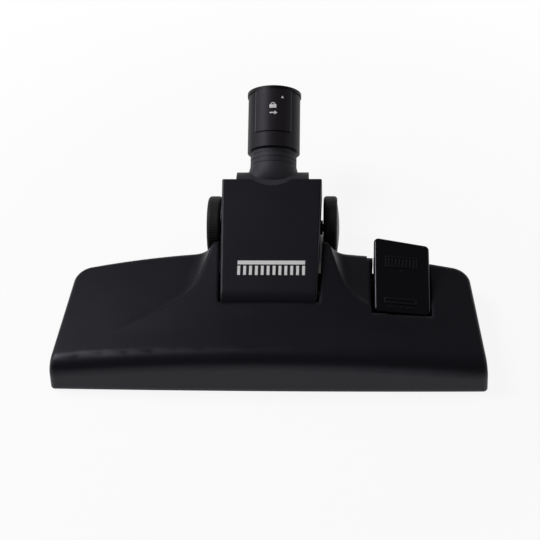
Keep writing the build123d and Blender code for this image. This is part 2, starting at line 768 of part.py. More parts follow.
def link_cover():
    """Cover plate that rolls over the drum, with side skirts and screw posts."""
    roll = sector(DRUM_Y, DRUM_Z, DRUM_R, 90 + LINK_PITCH, COVER_FRONT_ANGLE)
    roll -= disc(DRUM_Y, DRUM_Z, DRUM_R - COVER_THICK)
    length = LINK_LENGTH + COVER_REACH
    plate = outline(
        tangent,
        plate_point(length, 0),
        plate_point(length, COVER_THICK),
        plate_point(0, COVER_THICK),
    )
    cover = yz_prism(roll + plate, -COVER_REAR_HALF, COVER_REAR_HALF)
    skirt = outline(
        tangent,
        plate_point(length, 0),
        plate_point(length, SKIRT_LOW),
        plate_point(SKIRT_STEP[1], SKIRT_LOW),
        plate_point(SKIRT_STEP[0], SKIRT_DEPTH),
        plate_point(0, SKIRT_DEPTH),
    )
    cover += both_sides(yz_prism(skirt, FRAME_HALF + COVER_FIT, COVER_REAR_HALF))
    front_y = DRUM_Y - DRUM_R
    plan = outline(
        (-COVER_FRONT_HALF, front_y),
        (COVER_FRONT_HALF, front_y),
        (COVER_REAR_HALF, plate_point(length, 0)[0]),
        (COVER_REAR_HALF, TALL * 2),
        (-COVER_REAR_HALF, TALL * 2),
        (-COVER_REAR_HALF, plate_point(length, 0)[0]),
    )
    cover = cover & extrude(plan, TALL)
    cover = fillet([edge for edge in cover.edges() if is_plate_side(edge)], COVER_EDGE_R)
    notch_r = (COVER_NOTCH_HALF**2 + COVER_NOTCH_DEPTH**2) / (2 * COVER_NOTCH_DEPTH)
    reach = notch_r - COVER_NOTCH_DEPTH
    centre = plate_point(length + reach, 0)
    plane = Plane((0, *centre), x_dir=(1, 0, 0), z_dir=(0, across[0], across[1]))
    cover -= plane.location * Cylinder(notch_r, SKIRT_DEPTH)
    for x, y, z in link_screw_spots():
        pillar = post(x, y, LINK_POST_R, z + LINK_POST_R, plate_height(y) - COVER_THICK)
        cover += both_sides(pillar - link_screw_shank(x, y, z))
    return cover


def wheel_axle():
    """Right-hand axle pin with a head outside the hub."""
    head = wheel_outer - HUB_WEB
    pin = x_pin(WHEEL_Y, WHEEL_R, AXLE_R, AXLE_INNER, head)
    return pin + x_pin(WHEEL_Y, WHEEL_R, AXLE_HEAD_R, head, head + AXLE_HEAD)


def wheel_turned(*points):
    """Solid of revolution about the right-hand axle from (radius, X) points."""
    face = outline(*[(x, radius) for radius, x in points])
    face = Pos(0, WHEEL_Y, WHEEL_R) * (Plane.XZ * face)
    return revolve(face, Axis((0, WHEEL_Y, WHEEL_R), (1, 0, 0)), 360)


def wheel_hub():
    """Hub with a bearing sleeve, a web and a rim."""
    rim_r = WHEEL_R - TYRE_THICK
    bore = AXLE_R + AXLE_FIT
    face = wheel_outer - HUB_WEB - HUB_PLAY
    web = WHEEL_INNER + (WHEEL_WIDTH - HUB_WEB) / 2
    return wheel_turned(
        (bore, WHEEL_INNER),
        (HUB_SLEEVE_R, WHEEL_INNER),
        (HUB_SLEEVE_R, web),
        (rim_r - HUB_RIM, web),
        (rim_r - HUB_RIM, WHEEL_INNER),
        (rim_r, WHEEL_INNER),
        (rim_r, wheel_outer),
        (rim_r - HUB_RIM / 2, wheel_outer),
        (rim_r - HUB_RIM / 2, wheel_outer - HUB_WEB / 2),
        (rim_r - HUB_RIM, wheel_outer - HUB_WEB / 2),
        (rim_r - HUB_RIM, web + HUB_WEB),
        (HUB_SLEEVE_R, web + HUB_WEB),
        (HUB_SLEEVE_R, face),
        (bore, face),
    )


def wheel_tyre():
    """Soft tyre with rounded shoulders."""
    rim_r = WHEEL_R - TYRE_THICK
    tyre = wheel_turned(
        (rim_r, WHEEL_INNER),
        (WHEEL_R, WHEEL_INNER),
        (WHEEL_R, wheel_outer),
        (rim_r, wheel_outer),
    )
    shoulder = radians(360) * (WHEEL_R - TYRE_THICK / 2)
    return fillet([edge for edge in tyre.edges() if edge.length > shoulder], TYRE_ROUND)


def wheel_cap():
    """Domed cap let into the outer face of the hub."""
    radius = WHEEL_R - TYRE_THICK - HUB_RIM / 2
    inner = wheel_outer - HUB_WEB / 2
    ball_r = (radius**2 + CAP_DOME**2) / (2 * CAP_DOME)
    face = make_face(
        [
            Line((inner, 0), (inner, radius)),
            Line((inner, radius), (wheel_outer, radius)),
            CenterArc((wheel_outer + CAP_DOME - ball_r, 0), ball_r, 0, degrees(asin(radius / ball_r))),
            Line((wheel_outer + CAP_DOME, 0), (inner, 0)),
        ]
    )
    face = Pos(0, WHEEL_Y, WHEEL_R) * (Plane.XZ * face)
    return revolve(face, Axis((0, WHEEL_Y, WHEEL_R), (1, 0, 0)), 360)


def neck_elbow():
    """Cross drum with its pins, the flared base and the spigot for the swivel tube."""
    drum = x_pin(neck_y, neck_z, NECK_DRUM_R, -NECK_DRUM_HALF, NECK_DRUM_HALF)
    sections = [neck_plane.offset(station) * Ellipse(x, up) for station, x, up in NECK_SECTIONS]
    sections.append(neck_plane.offset(NECK_BASE_END) * Circle(SWIVEL_R))
    base = loft(sections)
    body = drum + base
    body += tube(0, SPIGOT_R, NECK_BASE_END, SPIGOT_END)
    retainer_end = RETAINER_START + RETAINER_THICK
    body -= tube(SPIGOT_R - RETAINER_DEPTH, SPIGOT_R + OVERCUT, RETAINER_START, retainer_end)
    seal_end = SEAL_RING_STATION + SEAL_RING_WIDTH
    body -= tube(SPIGOT_R - SEAL_RING_DEPTH, SPIGOT_R + OVERCUT, SEAL_RING_STATION, seal_end)
    hollow_r = NECK_DRUM_R - NECK_DRUM_WALL
    hollow_half = NECK_DRUM_HALF - NECK_DRUM_WALL
    body -= x_pin(neck_y, neck_z, hollow_r, -hollow_half, hollow_half)
    body -= tube(0, NECK_BORE_R, 0, SPIGOT_END)
    window = sector(neck_y, neck_z, 2 * NECK_DRUM_R, NECK_WINDOW_START, NECK_WINDOW_END)
    body -= yz_prism(window, -hollow_half, hollow_half)
    return body + both_sides(x_pin(neck_y, neck_z, NECK_PIN_R, NECK_DRUM_HALF, FRAME_HALF))


def swivel_tube():
    """Tube with ring grooves that turns on the spigot."""
    bore = SPIGOT_R + SWIVEL_FIT
    step_r = RETAINER_R + SWIVEL_FIT
    step = RETAINER_START - SWIVEL_FIT
    body = turned(
        (bore, SWIVEL_START),
        (SWIVEL_R, SWIVEL_START),
        (SWIVEL_R, SWIVEL_STEP),
        (SWIVEL_SEAT_R, SWIVEL_STEP),
        (SWIVEL_SEAT_R, SWIVEL_END),
        (step_r, SWIVEL_END),
        (step_r, step),
        (bore, step),
    )
    for station in SWIVEL_GROOVES:
        body -= tube(SWIVEL_R - GROOVE_DEPTH, SWIVEL_R + OVERCUT, station, station + GROOVE_WIDTH)
    rib_start = COLLAR_RIB_STATION - COLLAR_RIB_PLAY
    rib_end = COLLAR_RIB_STATION + COLLAR_RIB + COLLAR_RIB_PLAY
    floor_r = SWIVEL_SEAT_R - COLLAR_RIB_DEPTH
    return body - tube(floor_r, SWIVEL_SEAT_R + OVERCUT, rib_start, rib_end)


def retaining_ring():
    """Open snap ring that keeps the swivel tube on the spigot."""
    ring = tube(SPIGOT_R - RETAINER_DEPTH, RETAINER_R, RETAINER_START, RETAINER_START + RETAINER_THICK)
    half = RETAINER_R * tan(radians(RETAINER_GAP_ANGLE / 2))
    gap = Pos(0, RETAINER_R, SPIGOT_END) * Box(2 * half, 2 * RETAINER_R, SPIGOT_END)
    return ring - neck_plane.location * gap


def seal_ring():
    """Square-section seal in the spigot groove."""
    seal_end = SEAL_RING_STATION + SEAL_RING_WIDTH
    return tube(SPIGOT_R - SEAL_RING_DEPTH, SPIGOT_R + SEAL_RING_PROUD, SEAL_RING_STATION, seal_end)


def lock_collar():
    """Collar with the tube socket, a rim, an inner rib and a raised panel on its upper side."""
    bore = SWIVEL_SEAT_R + COLLAR_FIT
    ledge = SOCKET_FLOOR - COLLAR_LEDGE
    body = turned(
        (bore, COLLAR_START),
        (COLLAR_R, COLLAR_START),
        (COLLAR_R, COLLAR_END - COLLAR_RIM),
        (COLLAR_RIM_R, COLLAR_END - COLLAR_RIM),
        (COLLAR_RIM_R, COLLAR_END),
        (SOCKET_R, COLLAR_END),
        (SOCKET_R, SOCKET_FLOOR),
        (COLLAR_LEDGE_R, SOCKET_FLOOR),
        (COLLAR_LEDGE_R, ledge),
        (bore, ledge),
    )
    rib_end = COLLAR_RIB_STATION + COLLAR_RIB
    body += tube(bore - COLLAR_RIB_DEPTH, bore + COLLAR_RIB_DEPTH, COLLAR_RIB_STATION, rib_end)
    panel = sector(0, 0, COLLAR_R + PANEL_RAISE, 270 - PANEL_ANGLE / 2, 270 + PANEL_ANGLE / 2)
    panel -= Circle(COLLAR_R - PANEL_RAISE)
    panel = Pos(0, 0, PANEL_START) * extrude(panel, COLLAR_END - PANEL_SHY - PANEL_START)
    ridges = panel.edges().filter_by(Axis.Z).sort_by_distance((0, 0, PANEL_START))[-2:]
    return body + neck_plane.location * fillet(ridges, PANEL_EDGE_R)


def pedal_plane(inset):
    """Plane of the pedal's top, sunk by an inset and rolled to follow the crown."""
    middle_x = (PEDAL_LEFT + PEDAL_RIGHT) / 2
    middle_y = (PEDAL_FRONT_Y + PEDAL_REAR_Y) / 2
    middle_z = (PEDAL_FRONT_Z + PEDAL_REAR_Z) / 2
    rise = degrees(atan2(PEDAL_REAR_Z - PEDAL_FRONT_Z, PEDAL_REAR_Y - PEDAL_FRONT_Y))
    place = Pos(middle_x, middle_y, middle_z) * Rot(0, PEDAL_ROLL, 0) * Rot(rise, 0, 0)
    return Plane(place).offset(-inset)


def pedal_form(inset):
    """Upright block of the pedal cap under its sloping top, drawn in by an inset."""
    left = PEDAL_LEFT + inset
    right = PEDAL_RIGHT - inset
    front = PEDAL_FRONT_Y + inset
    rear = PEDAL_REAR_Y - inset
    plan = outline(
        (left, front),
        (right, front),
        (right, rear - PEDAL_REAR_SKEW),
        (left, rear + PEDAL_REAR_SKEW),
    )
    plan = fillet(plan.vertices(), PEDAL_CORNER_R - inset / 2)
    cap = extrude(Pos(0, 0, PEDAL_BOTTOM_Z - inset) * plan, TALL)
    above = Pos(0, 0, TALL / 2) * Box(2 * TALL, 2 * TALL, TALL)
    return cap - pedal_plane(inset).location * above


def arm_tip():
    """Axis of the arm pin at rest."""
    angle = radians(ARM_ANGLE)
    return PEDAL_PIVOT_Y + ARM_REACH * cos(angle), PEDAL_PIVOT_Z + ARM_REACH * sin(angle)


def pedal():
    """Hollow rocker cap with pivot bosses and the arm that moves the carriage."""
    cap = pedal_form(0)
    cap = fillet(cap.faces().sort_by(Axis.Z)[-1].edges(), PEDAL_EDGE_R)
    body = cap - pedal_form(PEDAL_WALL)
    hanger = outline(
        (PEDAL_PIVOT_Y - PEDAL_BOSS_R, PEDAL_PIVOT_Z),
        (PEDAL_PIVOT_Y + PEDAL_BOSS_R, PEDAL_PIVOT_Z),
        (PEDAL_PIVOT_Y + PEDAL_BOSS_R, TALL),
        (PEDAL_PIVOT_Y - PEDAL_BOSS_R, TALL),
    )
    hanger += disc(PEDAL_PIVOT_Y, PEDAL_PIVOT_Z, PEDAL_BOSS_R)
    tip_y, tip_z = arm_tip()
    arm = outline(
        (tip_y - ARM_WIDTH / 2, tip_z - ARM_WIDTH / 2),
        (tip_y + ARM_WIDTH / 2, tip_z - ARM_WIDTH / 2),
        (tip_y + ARM_WIDTH / 2, TALL),
        (tip_y - ARM_WIDTH, TALL),
    )
    ribs = yz_prism(arm, ARM_X, ARM_X + ARM_THICK)
    for x in (PEDAL_LEFT + PEDAL_WALL, PEDAL_RIGHT - PEDAL_WALL - PEDAL_BOSS):
        ribs += yz_prism(hanger, x, x + PEDAL_BOSS)
    room = cap.bounding_box()
    below = box(room.min.X, room.max.X, room.min.Y, room.max.Y, 0, PEDAL_BOTTOM_Z)
    body += ribs & (cap + below)
    body += x_pin(tip_y, tip_z, ARM_PIN_R, ARM_X, ARM_PIN_END)
    return body - x_pin(PEDAL_PIVOT_Y, PEDAL_PIVOT_Z, PEDAL_PIN_R + PEDAL_PIN_FIT, 0, HEAD_WIDTH)


def pedal_pin():
    """Steel pin through the pocket walls and the pedal."""
    left, right = pocket_span()
    return x_pin(PEDAL_PIVOT_Y, PEDAL_PIVOT_Z, PEDAL_PIN_R, left - POCKET_WALL, right + POCKET_WALL)


def pedal_leaf():
    """Leaf spring from the pocket front to under the pedal pin."""
    front = PEDAL_FRONT_Y - POCKET_FRONT_GAP
    low_y = PEDAL_PIVOT_Y - PEDAL_BOSS_R
    side = outline(
        (front, LEAF_SEAT_Z),
        (front + LEAF_THICK, LEAF_SEAT_Z),
        (front + LEAF_THICK, LEAF_LOW_Z + LEAF_THICK),
        (low_y, LEAF_LOW_Z),
        (low_y, LEAF_LOW_Z - LEAF_THICK),
        (front, LEAF_LOW_Z),
    )
    return yz_prism(side, LEAF_LEFT, LEAF_RIGHT)


def brush_carriage():
    """Rails for the bristles, cross bars, guide eyes and the slotted lug for the pedal arm."""
    half = RAIL_WIDTH / 2
    top = RAIL_Z + RAIL_HEIGHT
    frame = box(-RAIL_HALF, RAIL_HALF, FRONT_RAIL_Y - half, FRONT_RAIL_Y + half, RAIL_Z, top)
    rear = box(REAR_RAIL_START, RAIL_HALF, REAR_RAIL_Y - half, REAR_RAIL_Y + half, RAIL_Z, top)
    bar_half = CROSSBAR_WIDTH / 2
    bar = box(CROSSBAR_X - bar_half, CROSSBAR_X + bar_half, FRONT_RAIL_Y, REAR_RAIL_Y, RAIL_Z, top)
    frame += both_sides(rear + bar)
    for x, y in guide_spots():
        frame += both_sides(post(x, y, EYE_R, RAIL_Z, top))
    tip_y, tip_z = arm_tip()
    clear = ARM_PIN_R + SLOT_CLEAR
    lug_rear = tip_y + clear + SLOT_LUG_WALL
    lug_top = tip_z + clear + SLOT_LUG_WALL
    frame += box(SLOT_LUG_LEFT, SLOT_LUG_RIGHT, REAR_RAIL_Y, lug_rear, RAIL_Z, lug_top)
    back = ARM_REACH * (cos(radians(ARM_ANGLE)) - cos(radians(ARM_ANGLE - PEDAL_TRAVEL)))
    slot = disc(tip_y, tip_z, clear) + disc(tip_y - back, tip_z, clear)
    slot += outline(
        (tip_y, tip_z - clear),
        (tip_y, tip_z + clear),
        (tip_y - back, tip_z + clear),
        (tip_y - back, tip_z - clear),
    )
    frame -= yz_prism(slot, SLOT_LUG_LEFT, SLOT_LUG_RIGHT)
    for x, y in guide_spots():
        frame -= both_sides(post(x, y, POST_R + POST_FIT, 0, TALL))
    seat = BRISTLE_WIDTH / 2
    seat_z = RAIL_Z + BRISTLE_SEAT
    frame -= box(-RAIL_HALF, RAIL_HALF, FRONT_RAIL_Y - seat, FRONT_RAIL_Y + seat, 0, seat_z)
    rear_seat = box(REAR_RAIL_START, RAIL_HALF, REAR_RAIL_Y - seat, REAR_RAIL_Y + seat, 0, seat_z)
    return frame - both_sides(rear_seat)


def bristle_strip(x0, x1, y):
    """Backing strip with a row of tapered tufts."""
    seat = BRISTLE_WIDTH / 2
    root = RAIL_Z - TUFT_ROOT
    strip = box(x0, x1, y - seat, y + seat, root, RAIL_Z + BRISTLE_SEAT)
    count = int((x1 - x0) / TUFT_PITCH)
    first = (x0 + x1) / 2 - (count - 1) * TUFT_PITCH / 2
    tufts = [
        box(
            first + index * TUFT_PITCH - TUFT_LENGTH / 2,
            first + index * TUFT_PITCH + TUFT_LENGTH / 2,
            y - seat,
            y + seat,
            BRISTLE_TIP_Z,
            root,
        )
        for index in range(count)
    ]
    return strip + tufts


def front_bristles():
    """Front strip, along the whole front rail."""
    return bristle_strip(-RAIL_HALF, RAIL_HALF, FRONT_RAIL_Y)


def rear_bristles():
    """Two rear strips, either side of the link."""
    strip = bristle_strip(REAR_RAIL_START, RAIL_HALF, REAR_RAIL_Y)
    return Compound(children=[strip.solid(), mirror(strip, Plane.YZ).solid()])


nodes = {
    "upper_housing": upper_housing(),
    "sole_plate": sole_plate(),
    "sole_screws": sole_screws(),
    "front_thread_lifter": lifter(LIFTER_HALF, LIFTER_FRONT_Y, LIFTER_SET),
    "rear_thread_lifter": lifter(LIFTER_REAR_HALF, LIFTER_REAR_Y, LIFTER_SET),
    "cap_screws": cap_screws(),
    "drum_seal": yz_prism(seal_profile(0), -SEAL_HALF, SEAL_HALF),
    "brush_carriage": brush_carriage(),
    "front_bristles": front_bristles(),
    "rear_bristles": rear_bristles(),
    "pedal": pedal(),
    "pedal_pin": pedal_pin(),
    "pedal_leaf": pedal_leaf(),
    "link_frame": link_frame(),
    "link_cover": link_cover(),
    "link_screws": link_screws(),
    "neck_elbow": neck_elbow(),
    "swivel_tube": swivel_tube(),
    "retaining_ring": retaining_ring(),
    "seal_ring": seal_ring(),
    "lock_collar": lock_collar(),
}

paired = {
    "trunnion_cap": trunnion_cap(),
    "wheel_axle": wheel_axle(),
    "wheel_hub": wheel_hub(),
    "wheel_tyre": wheel_tyre(),
    "wheel_cap": wheel_cap(),
}

for name, shape in paired.items():
    nodes["right_" + name] = shape
    nodes["left_" + name] = mirror(shape, Plane.YZ)

for name, shape in nodes.items():
    export_step(shape, f"parts/{name}.step")
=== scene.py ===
"""Looks of a vacuum floor brush head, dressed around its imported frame."""

import logging
import math
from dataclasses import dataclass, field
from enum import Enum
from typing import Any, ClassVar, Iterable, Mapping, Sequence, Union

import bmesh
import bpy
from mathutils import Matrix, Vector


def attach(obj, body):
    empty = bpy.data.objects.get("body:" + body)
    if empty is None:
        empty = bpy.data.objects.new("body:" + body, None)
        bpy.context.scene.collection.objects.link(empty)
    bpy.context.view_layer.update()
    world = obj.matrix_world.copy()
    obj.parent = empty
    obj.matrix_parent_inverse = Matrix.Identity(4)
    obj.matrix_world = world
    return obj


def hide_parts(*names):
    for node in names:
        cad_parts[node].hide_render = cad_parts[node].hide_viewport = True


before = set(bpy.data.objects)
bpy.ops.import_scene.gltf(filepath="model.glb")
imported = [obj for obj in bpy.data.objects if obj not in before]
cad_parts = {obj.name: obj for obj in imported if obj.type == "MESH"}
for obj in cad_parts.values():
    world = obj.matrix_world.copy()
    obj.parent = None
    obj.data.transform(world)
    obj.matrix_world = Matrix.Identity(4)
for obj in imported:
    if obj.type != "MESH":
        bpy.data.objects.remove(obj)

LOG = logging.getLogger("floor_head")
MM = 0.001
Point = tuple[float, float]
Triple = tuple[float, float, float]
RGB = Triple
Box = tuple[float, float, float, float]
Outline = Sequence[Point]
Coats = Mapping[str, tuple[str, ...]]
Owner = Union[bpy.types.Material, bpy.types.World]
Operand = Union["Sock", float]

WHITE: RGB = (1.0, 1.0, 1.0)
MIDDLE = 0.5  # level of a noise
SIDES = (-1.0, 1.0)
NECK_PITCH = math.radians(28.0)
RAIL_START = 46.0 * MM
RAIL_END = 124.0 * MM
FRONT_ROW_Y = -37.0 * MM
REAR_ROW_Y = 33.0 * MM


class Body(str, Enum):
    """Bodies that the pieces modelled here ride on."""

    HEAD = "head"
    PEDAL = "pedal"
    BRUSH = "brush"
    LINK = "link"
    COLLAR = "collar"


def shade(colour: RGB, times: float) -> RGB:
    """A lighter or darker colour of the same hue.

    Args:
        colour: Linear colour.
        times: Factor on each part.

    Returns:
        The new colour.
    """
    return (colour[0] * times, colour[1] * times, colour[2] * times)


class Sock:
    """A shader socket that takes part in Python arithmetic."""

    def __init__(self, graph: "Graph", socket: bpy.types.NodeSocket) -> None:
        """Keep the socket and its graph.

        Args:
            graph: The graph that new Math nodes join.
            socket: An output socket of that graph.
        """
        self.graph = graph
        self.socket = socket

    def also(self, name: str) -> "Sock":
        """Another output of the same node, by its name."""
        return Sock(self.graph, self.socket.node.outputs[name])

    def __add__(self, other: Operand) -> "Sock":
        """Sum with a number or socket."""
        return self.graph.math("ADD", self, other)

    def __radd__(self, other: Operand) -> "Sock":
        """Sum with a number on the left."""
        return self.graph.math("ADD", other, self)

    def __sub__(self, other: Operand) -> "Sock":
        """Difference from a number or socket."""
        return self.graph.math("SUBTRACT", self, other)

    def __rsub__(self, other: Operand) -> "Sock":
        """Difference of a number on the left."""
        return self.graph.math("SUBTRACT", other, self)

    def __mul__(self, other: Operand) -> "Sock":
        """Product with a number or socket."""
        return self.graph.math("MULTIPLY", self, other)


class Graph:
    """Node graph of a material or a world, around its main shader."""

    def __init__(self, owner: Owner, shader: str = "BSDF_PRINCIPLED") -> None:
        """Open the owner's nodes.

        Args:
            owner: A new material or world.
            shader: Type of its main shader.
        """
        owner.use_nodes = True
        self.owner = owner
        self.tree = owner.node_tree
        self.shader = next(n for n in self.tree.nodes if n.type == shader)

    def plug(self, socket: bpy.types.NodeSocket, value: Any) -> None:
        """Link a socket, or set its own value.

        Args:
            socket: The input to feed.
            value: A Sock, a number, or a colour or vector of three numbers.
        """
        if isinstance(value, Sock):
            self.tree.links.new(value.socket, socket)
        elif isinstance(value, tuple) and socket.type == "RGBA":
            socket.default_value = (*value, 1.0)
        else:
            socket.default_value = value

    def node(
        self,
        kind: str,
        settings: Mapping[str, Any] | None = None,
        inputs: Mapping[Union[str, int], Any] | None = None,
        out: Union[str, int] = 0,
    ) -> Sock:
        """Add any node.

        Args:
            kind: Blender's name of the node type.
            settings: Attributes of the node, set before its sockets.
            inputs: Values or links of its input sockets.
            out: The output to return.

        Returns:
            The chosen output as a Sock.
        """
        made = self.tree.nodes.new(kind)
        for key, value in (settings or {}).items():
            setattr(made, key, value)
        for key, value in (inputs or {}).items():
            self.plug(made.inputs[key], value)
        return Sock(self, made.outputs[out])

    def math(self, operation: str, first: Operand, second: Operand = 0.0) -> Sock:
        """Add a Math node.

        Args:
            operation: The operation's name.
            first: First value.
            second: Second value.

        Returns:
            The result as a Sock.
        """
        return self.node("ShaderNodeMath", {"operation": operation}, {0: first, 1: second})

    def coords(self) -> Sock:
        """Object coordinates.

        Returns:
            The coordinates as a Sock.
        """
        return self.node("ShaderNodeTexCoord", out="Object")

    def place(self, stretch: Triple = (1.0, 1.0, 1.0), turn: Triple = (0.0, 0.0, 0.0)) -> Sock:
        """Object coordinates, stretched and turned by a Mapping node.

        Args:
            stretch: Scale along each axis.
            turn: Turn about each axis in radians.

        Returns:
            The coordinates as a Sock.
        """
        values = {"Vector": self.coords(), "Rotation": turn, "Scale": stretch}
        return self.node("ShaderNodeMapping", None, values)

    def noise(self, place: Sock, scale: float = 1.0, detail: float = 2.0, rough: float = 0.5) -> Sock:
        """Noise from 0 to 1.

        Args:
            place: Coordinates to read.
            scale: Lumps per metre, or 1 where the coordinates are stretched already.
            detail: Octaves of finer noise.
            rough: Share of the finer octaves.

        Returns:
            The noise as a Sock.
        """
        values = {"Vector": place, "Scale": scale, "Detail": detail, "Roughness": rough}
        return self.node("ShaderNodeTexNoise", {"noise_dimensions": "3D"}, values, "Fac")

    def ease(self, value: Sock, low: float, high: float) -> Sock:
        """Smooth step of a value between two levels.

        Args:
            value: The value to read.
            low: Level that gives 0.
            high: Level that gives 1.

        Returns:
            A mask from 0 to 1.
        """
        settings = {"interpolation_type": "SMOOTHSTEP", "clamp": True}
        return self.node("ShaderNodeMapRange", settings, {0: value, 1: low, 2: high, 3: 0.0, 4: 1.0})

    def mix(self, factor: Operand, first: Any, second: Any) -> Sock:
        """Mix two colours.

        Args:
            factor: Share of the second colour.
            first: First colour.
            second: Second colour.

        Returns:
            The mixed colour as a Sock.
        """
        settings = {"data_type": "RGBA", "clamp_factor": True}
        return self.node("ShaderNodeMix", settings, {0: factor, 6: first, 7: second}, 2)

    def bump(self, height: Sock, strength: float, distance: float, under: Sock | None = None) -> Sock:
        """Bumped normal.

        Args:
            height: Height map.
            strength: Share of the effect.
            distance: Height of a step of 1, in metres.
            under: A normal to start from.

        Returns:
            The normal as a Sock.
        """
        values: dict[Union[str, int], Any] = {"Height": height, "Strength": strength, "Distance": distance}
        if under is not None:
            values["Normal"] = under
        return self.node("ShaderNodeBump", None, values, "Normal")

    def surface(self, inputs: Mapping[str, Any]) -> Owner:
        """Feed the main shader.

        Args:
            inputs: Values or links by socket name.

        Returns:
            The finished material or world.
        """
        for key, value in inputs.items():
            self.plug(self.shader.inputs[key], value)
        return self.owner


# Fields of the finishes: a plain noun such as grain or cloud is a noise in lumps per metre, and its levels are
# where it sets in and is full. What it does to the look ends in tone, rough or share. Depths are in metres.
@dataclass(frozen=True)
class MouldedPlastic:
    """Injection-moulded plastic with a spark-eroded grain, soft clouding and faint scratches."""

    name: str
    colour: RGB
    roughness: float = 0.46
    grain: float = 1500.0
    depth: float = 0.00006
    mottle: float = 0.16
    scuff: float = 0.25
    specular: float = 0.4
    tint: RGB = (0.88, 0.86, 1.0)
    soften: float = 0.0
    soften_samples: int = 8
    relief: float = 0.5
    grain_rough: float = 0.1
    cloud: float = 22.0
    cloud_rough: float = 0.12
    scratch_stretch: Triple = (30.0, 900.0, 400.0)
    scratch_turn: Triple = (0.2, 0.1, 0.35)
    scratch_levels: Point = (0.66, 0.74)
    scratch_tone: float = 2.2
    scratch_rough: float = 0.1
    patch: float = 9.0
    patch_levels: Point = (0.5, 0.7)

    def material(self) -> bpy.types.Material:
        """Build the material.

        Returns:
            The finished material.
        """
        graph = Graph(bpy.data.materials.new(self.name))
        place = graph.place()
        grain = graph.noise(place, self.grain, detail=2.0, rough=0.6)
        cloud = graph.noise(place, self.cloud, detail=3.0, rough=0.55)
        scratch = graph.noise(graph.place(self.scratch_stretch, self.scratch_turn), detail=1.0)
        patch = graph.ease(graph.noise(place, self.patch), *self.patch_levels)
        wear = graph.ease(scratch, *self.scratch_levels) * patch * self.scuff
        tone = graph.mix(cloud, shade(self.colour, 1 - self.mottle), shade(self.colour, 1 + self.mottle))
        tone = self.over(graph, graph.mix(wear, tone, shade(self.colour, self.scratch_tone)))
        rough = self.roughness + (cloud - MIDDLE) * self.cloud_rough + (grain - MIDDLE) * self.grain_rough
        soft = None
        if self.soften > 0:
            soft = graph.node("ShaderNodeBevel", {"samples": self.soften_samples}, {"Radius": self.soften})
        return graph.surface(
            {
                "Base Color": tone,
                "Roughness": rough + wear * self.scratch_rough,
                "Specular IOR Level": self.specular,
                "Specular Tint": self.tint,
                "Normal": graph.bump(grain, self.relief, self.depth, soft),
            }
        )

    def over(self, graph: Graph, tone: Sock) -> Sock:
        """Tone after any change that a kind of plastic makes to it.

        Args:
            graph: The material's graph.
            tone: Colour of the plain plastic.

        Returns:
            The colour to use.
        """
        return tone


@dataclass(frozen=True)
class ShadedRimPlastic(MouldedPlastic):
    """Moulded plastic of the collar, with painted shade on its rim and on its sides past the panel."""

    axis: Triple = (0.0, math.cos(NECK_PITCH), math.sin(NECK_PITCH))
    rim_shade_at: float = 180.7 * MM
    rim_shade_soft: float = 0.2 * MM
    rim_shade_share: float = 0.12
    side_shade_at: float = 13.6 * MM
    side_shade_soft: float = 0.4 * MM
    side_shade_share: float = 0.3

    def over(self, graph: Graph, tone: Sock) -> Sock:
        """Paint shade on the tone past the rim's start and past the panel.

        Args:
            graph: The material's graph.
            tone: Colour of the plain plastic.

        Returns:
            The colour with painted shade on its rim and sides.
        """
        coords = graph.coords()
        values = {0: coords, 1: self.axis}
        along = graph.node("ShaderNodeVectorMath", {"operation": "DOT_PRODUCT"}, values, "Value")
        # Painted shade: the collar's rim and its sides past the panel are darkened to stand for shade.
        rim = graph.ease(along, self.rim_shade_at - self.rim_shade_soft, self.rim_shade_at + self.rim_shade_soft)
        aside = graph.math("ABSOLUTE", graph.node("ShaderNodeSeparateXYZ", None, {0: coords}, "X"))
        side = graph.ease(aside, self.side_shade_at - self.side_shade_soft, self.side_shade_at + self.side_shade_soft)
        tone = graph.mix(side, tone, shade(self.colour, self.side_shade_share))
        return graph.mix(rim, tone, shade(self.colour, self.rim_shade_share))


@dataclass(frozen=True)
class WornSole:
    """Sole plastic rubbed smooth along the strokes of the head."""

    name: str
    colour: RGB
    roughness: float = 0.36
    specular: float = 0.4
    relief: float = 0.4
    depth: float = 0.00006
    grain: float = 1300.0
    grain_share: float = 0.6
    stroke_stretch: Triple = (1400.0, 18.0, 300.0)
    stroke_levels: Point = (0.56, 0.72)
    stroke_share: float = 0.4
    stroke_tone: float = 2.1
    stroke_rough: float = 0.12
    worn: float = 14.0
    worn_levels: Point = (0.42, 0.68)
    fresh_rough: float = 0.12

    def material(self) -> bpy.types.Material:
        """Build the material.

        Returns:
            The finished material.
        """
        graph = Graph(bpy.data.materials.new(self.name))
        place = graph.place()
        grain = graph.noise(place, self.grain)
        stroke = graph.noise(graph.place(self.stroke_stretch), rough=0.6)
        worn = graph.ease(graph.noise(place, self.worn), *self.worn_levels)
        mark = graph.ease(stroke, *self.stroke_levels) * worn
        height = grain * self.grain_share + stroke * self.stroke_share
        return graph.surface(
            {
                "Base Color": graph.mix(mark, self.colour, shade(self.colour, self.stroke_tone)),
                "Roughness": self.roughness + (1 - worn) * self.fresh_rough + mark * self.stroke_rough,
                "Specular IOR Level": self.specular,
                "Normal": graph.bump(height, self.relief, self.depth),
            }
        )


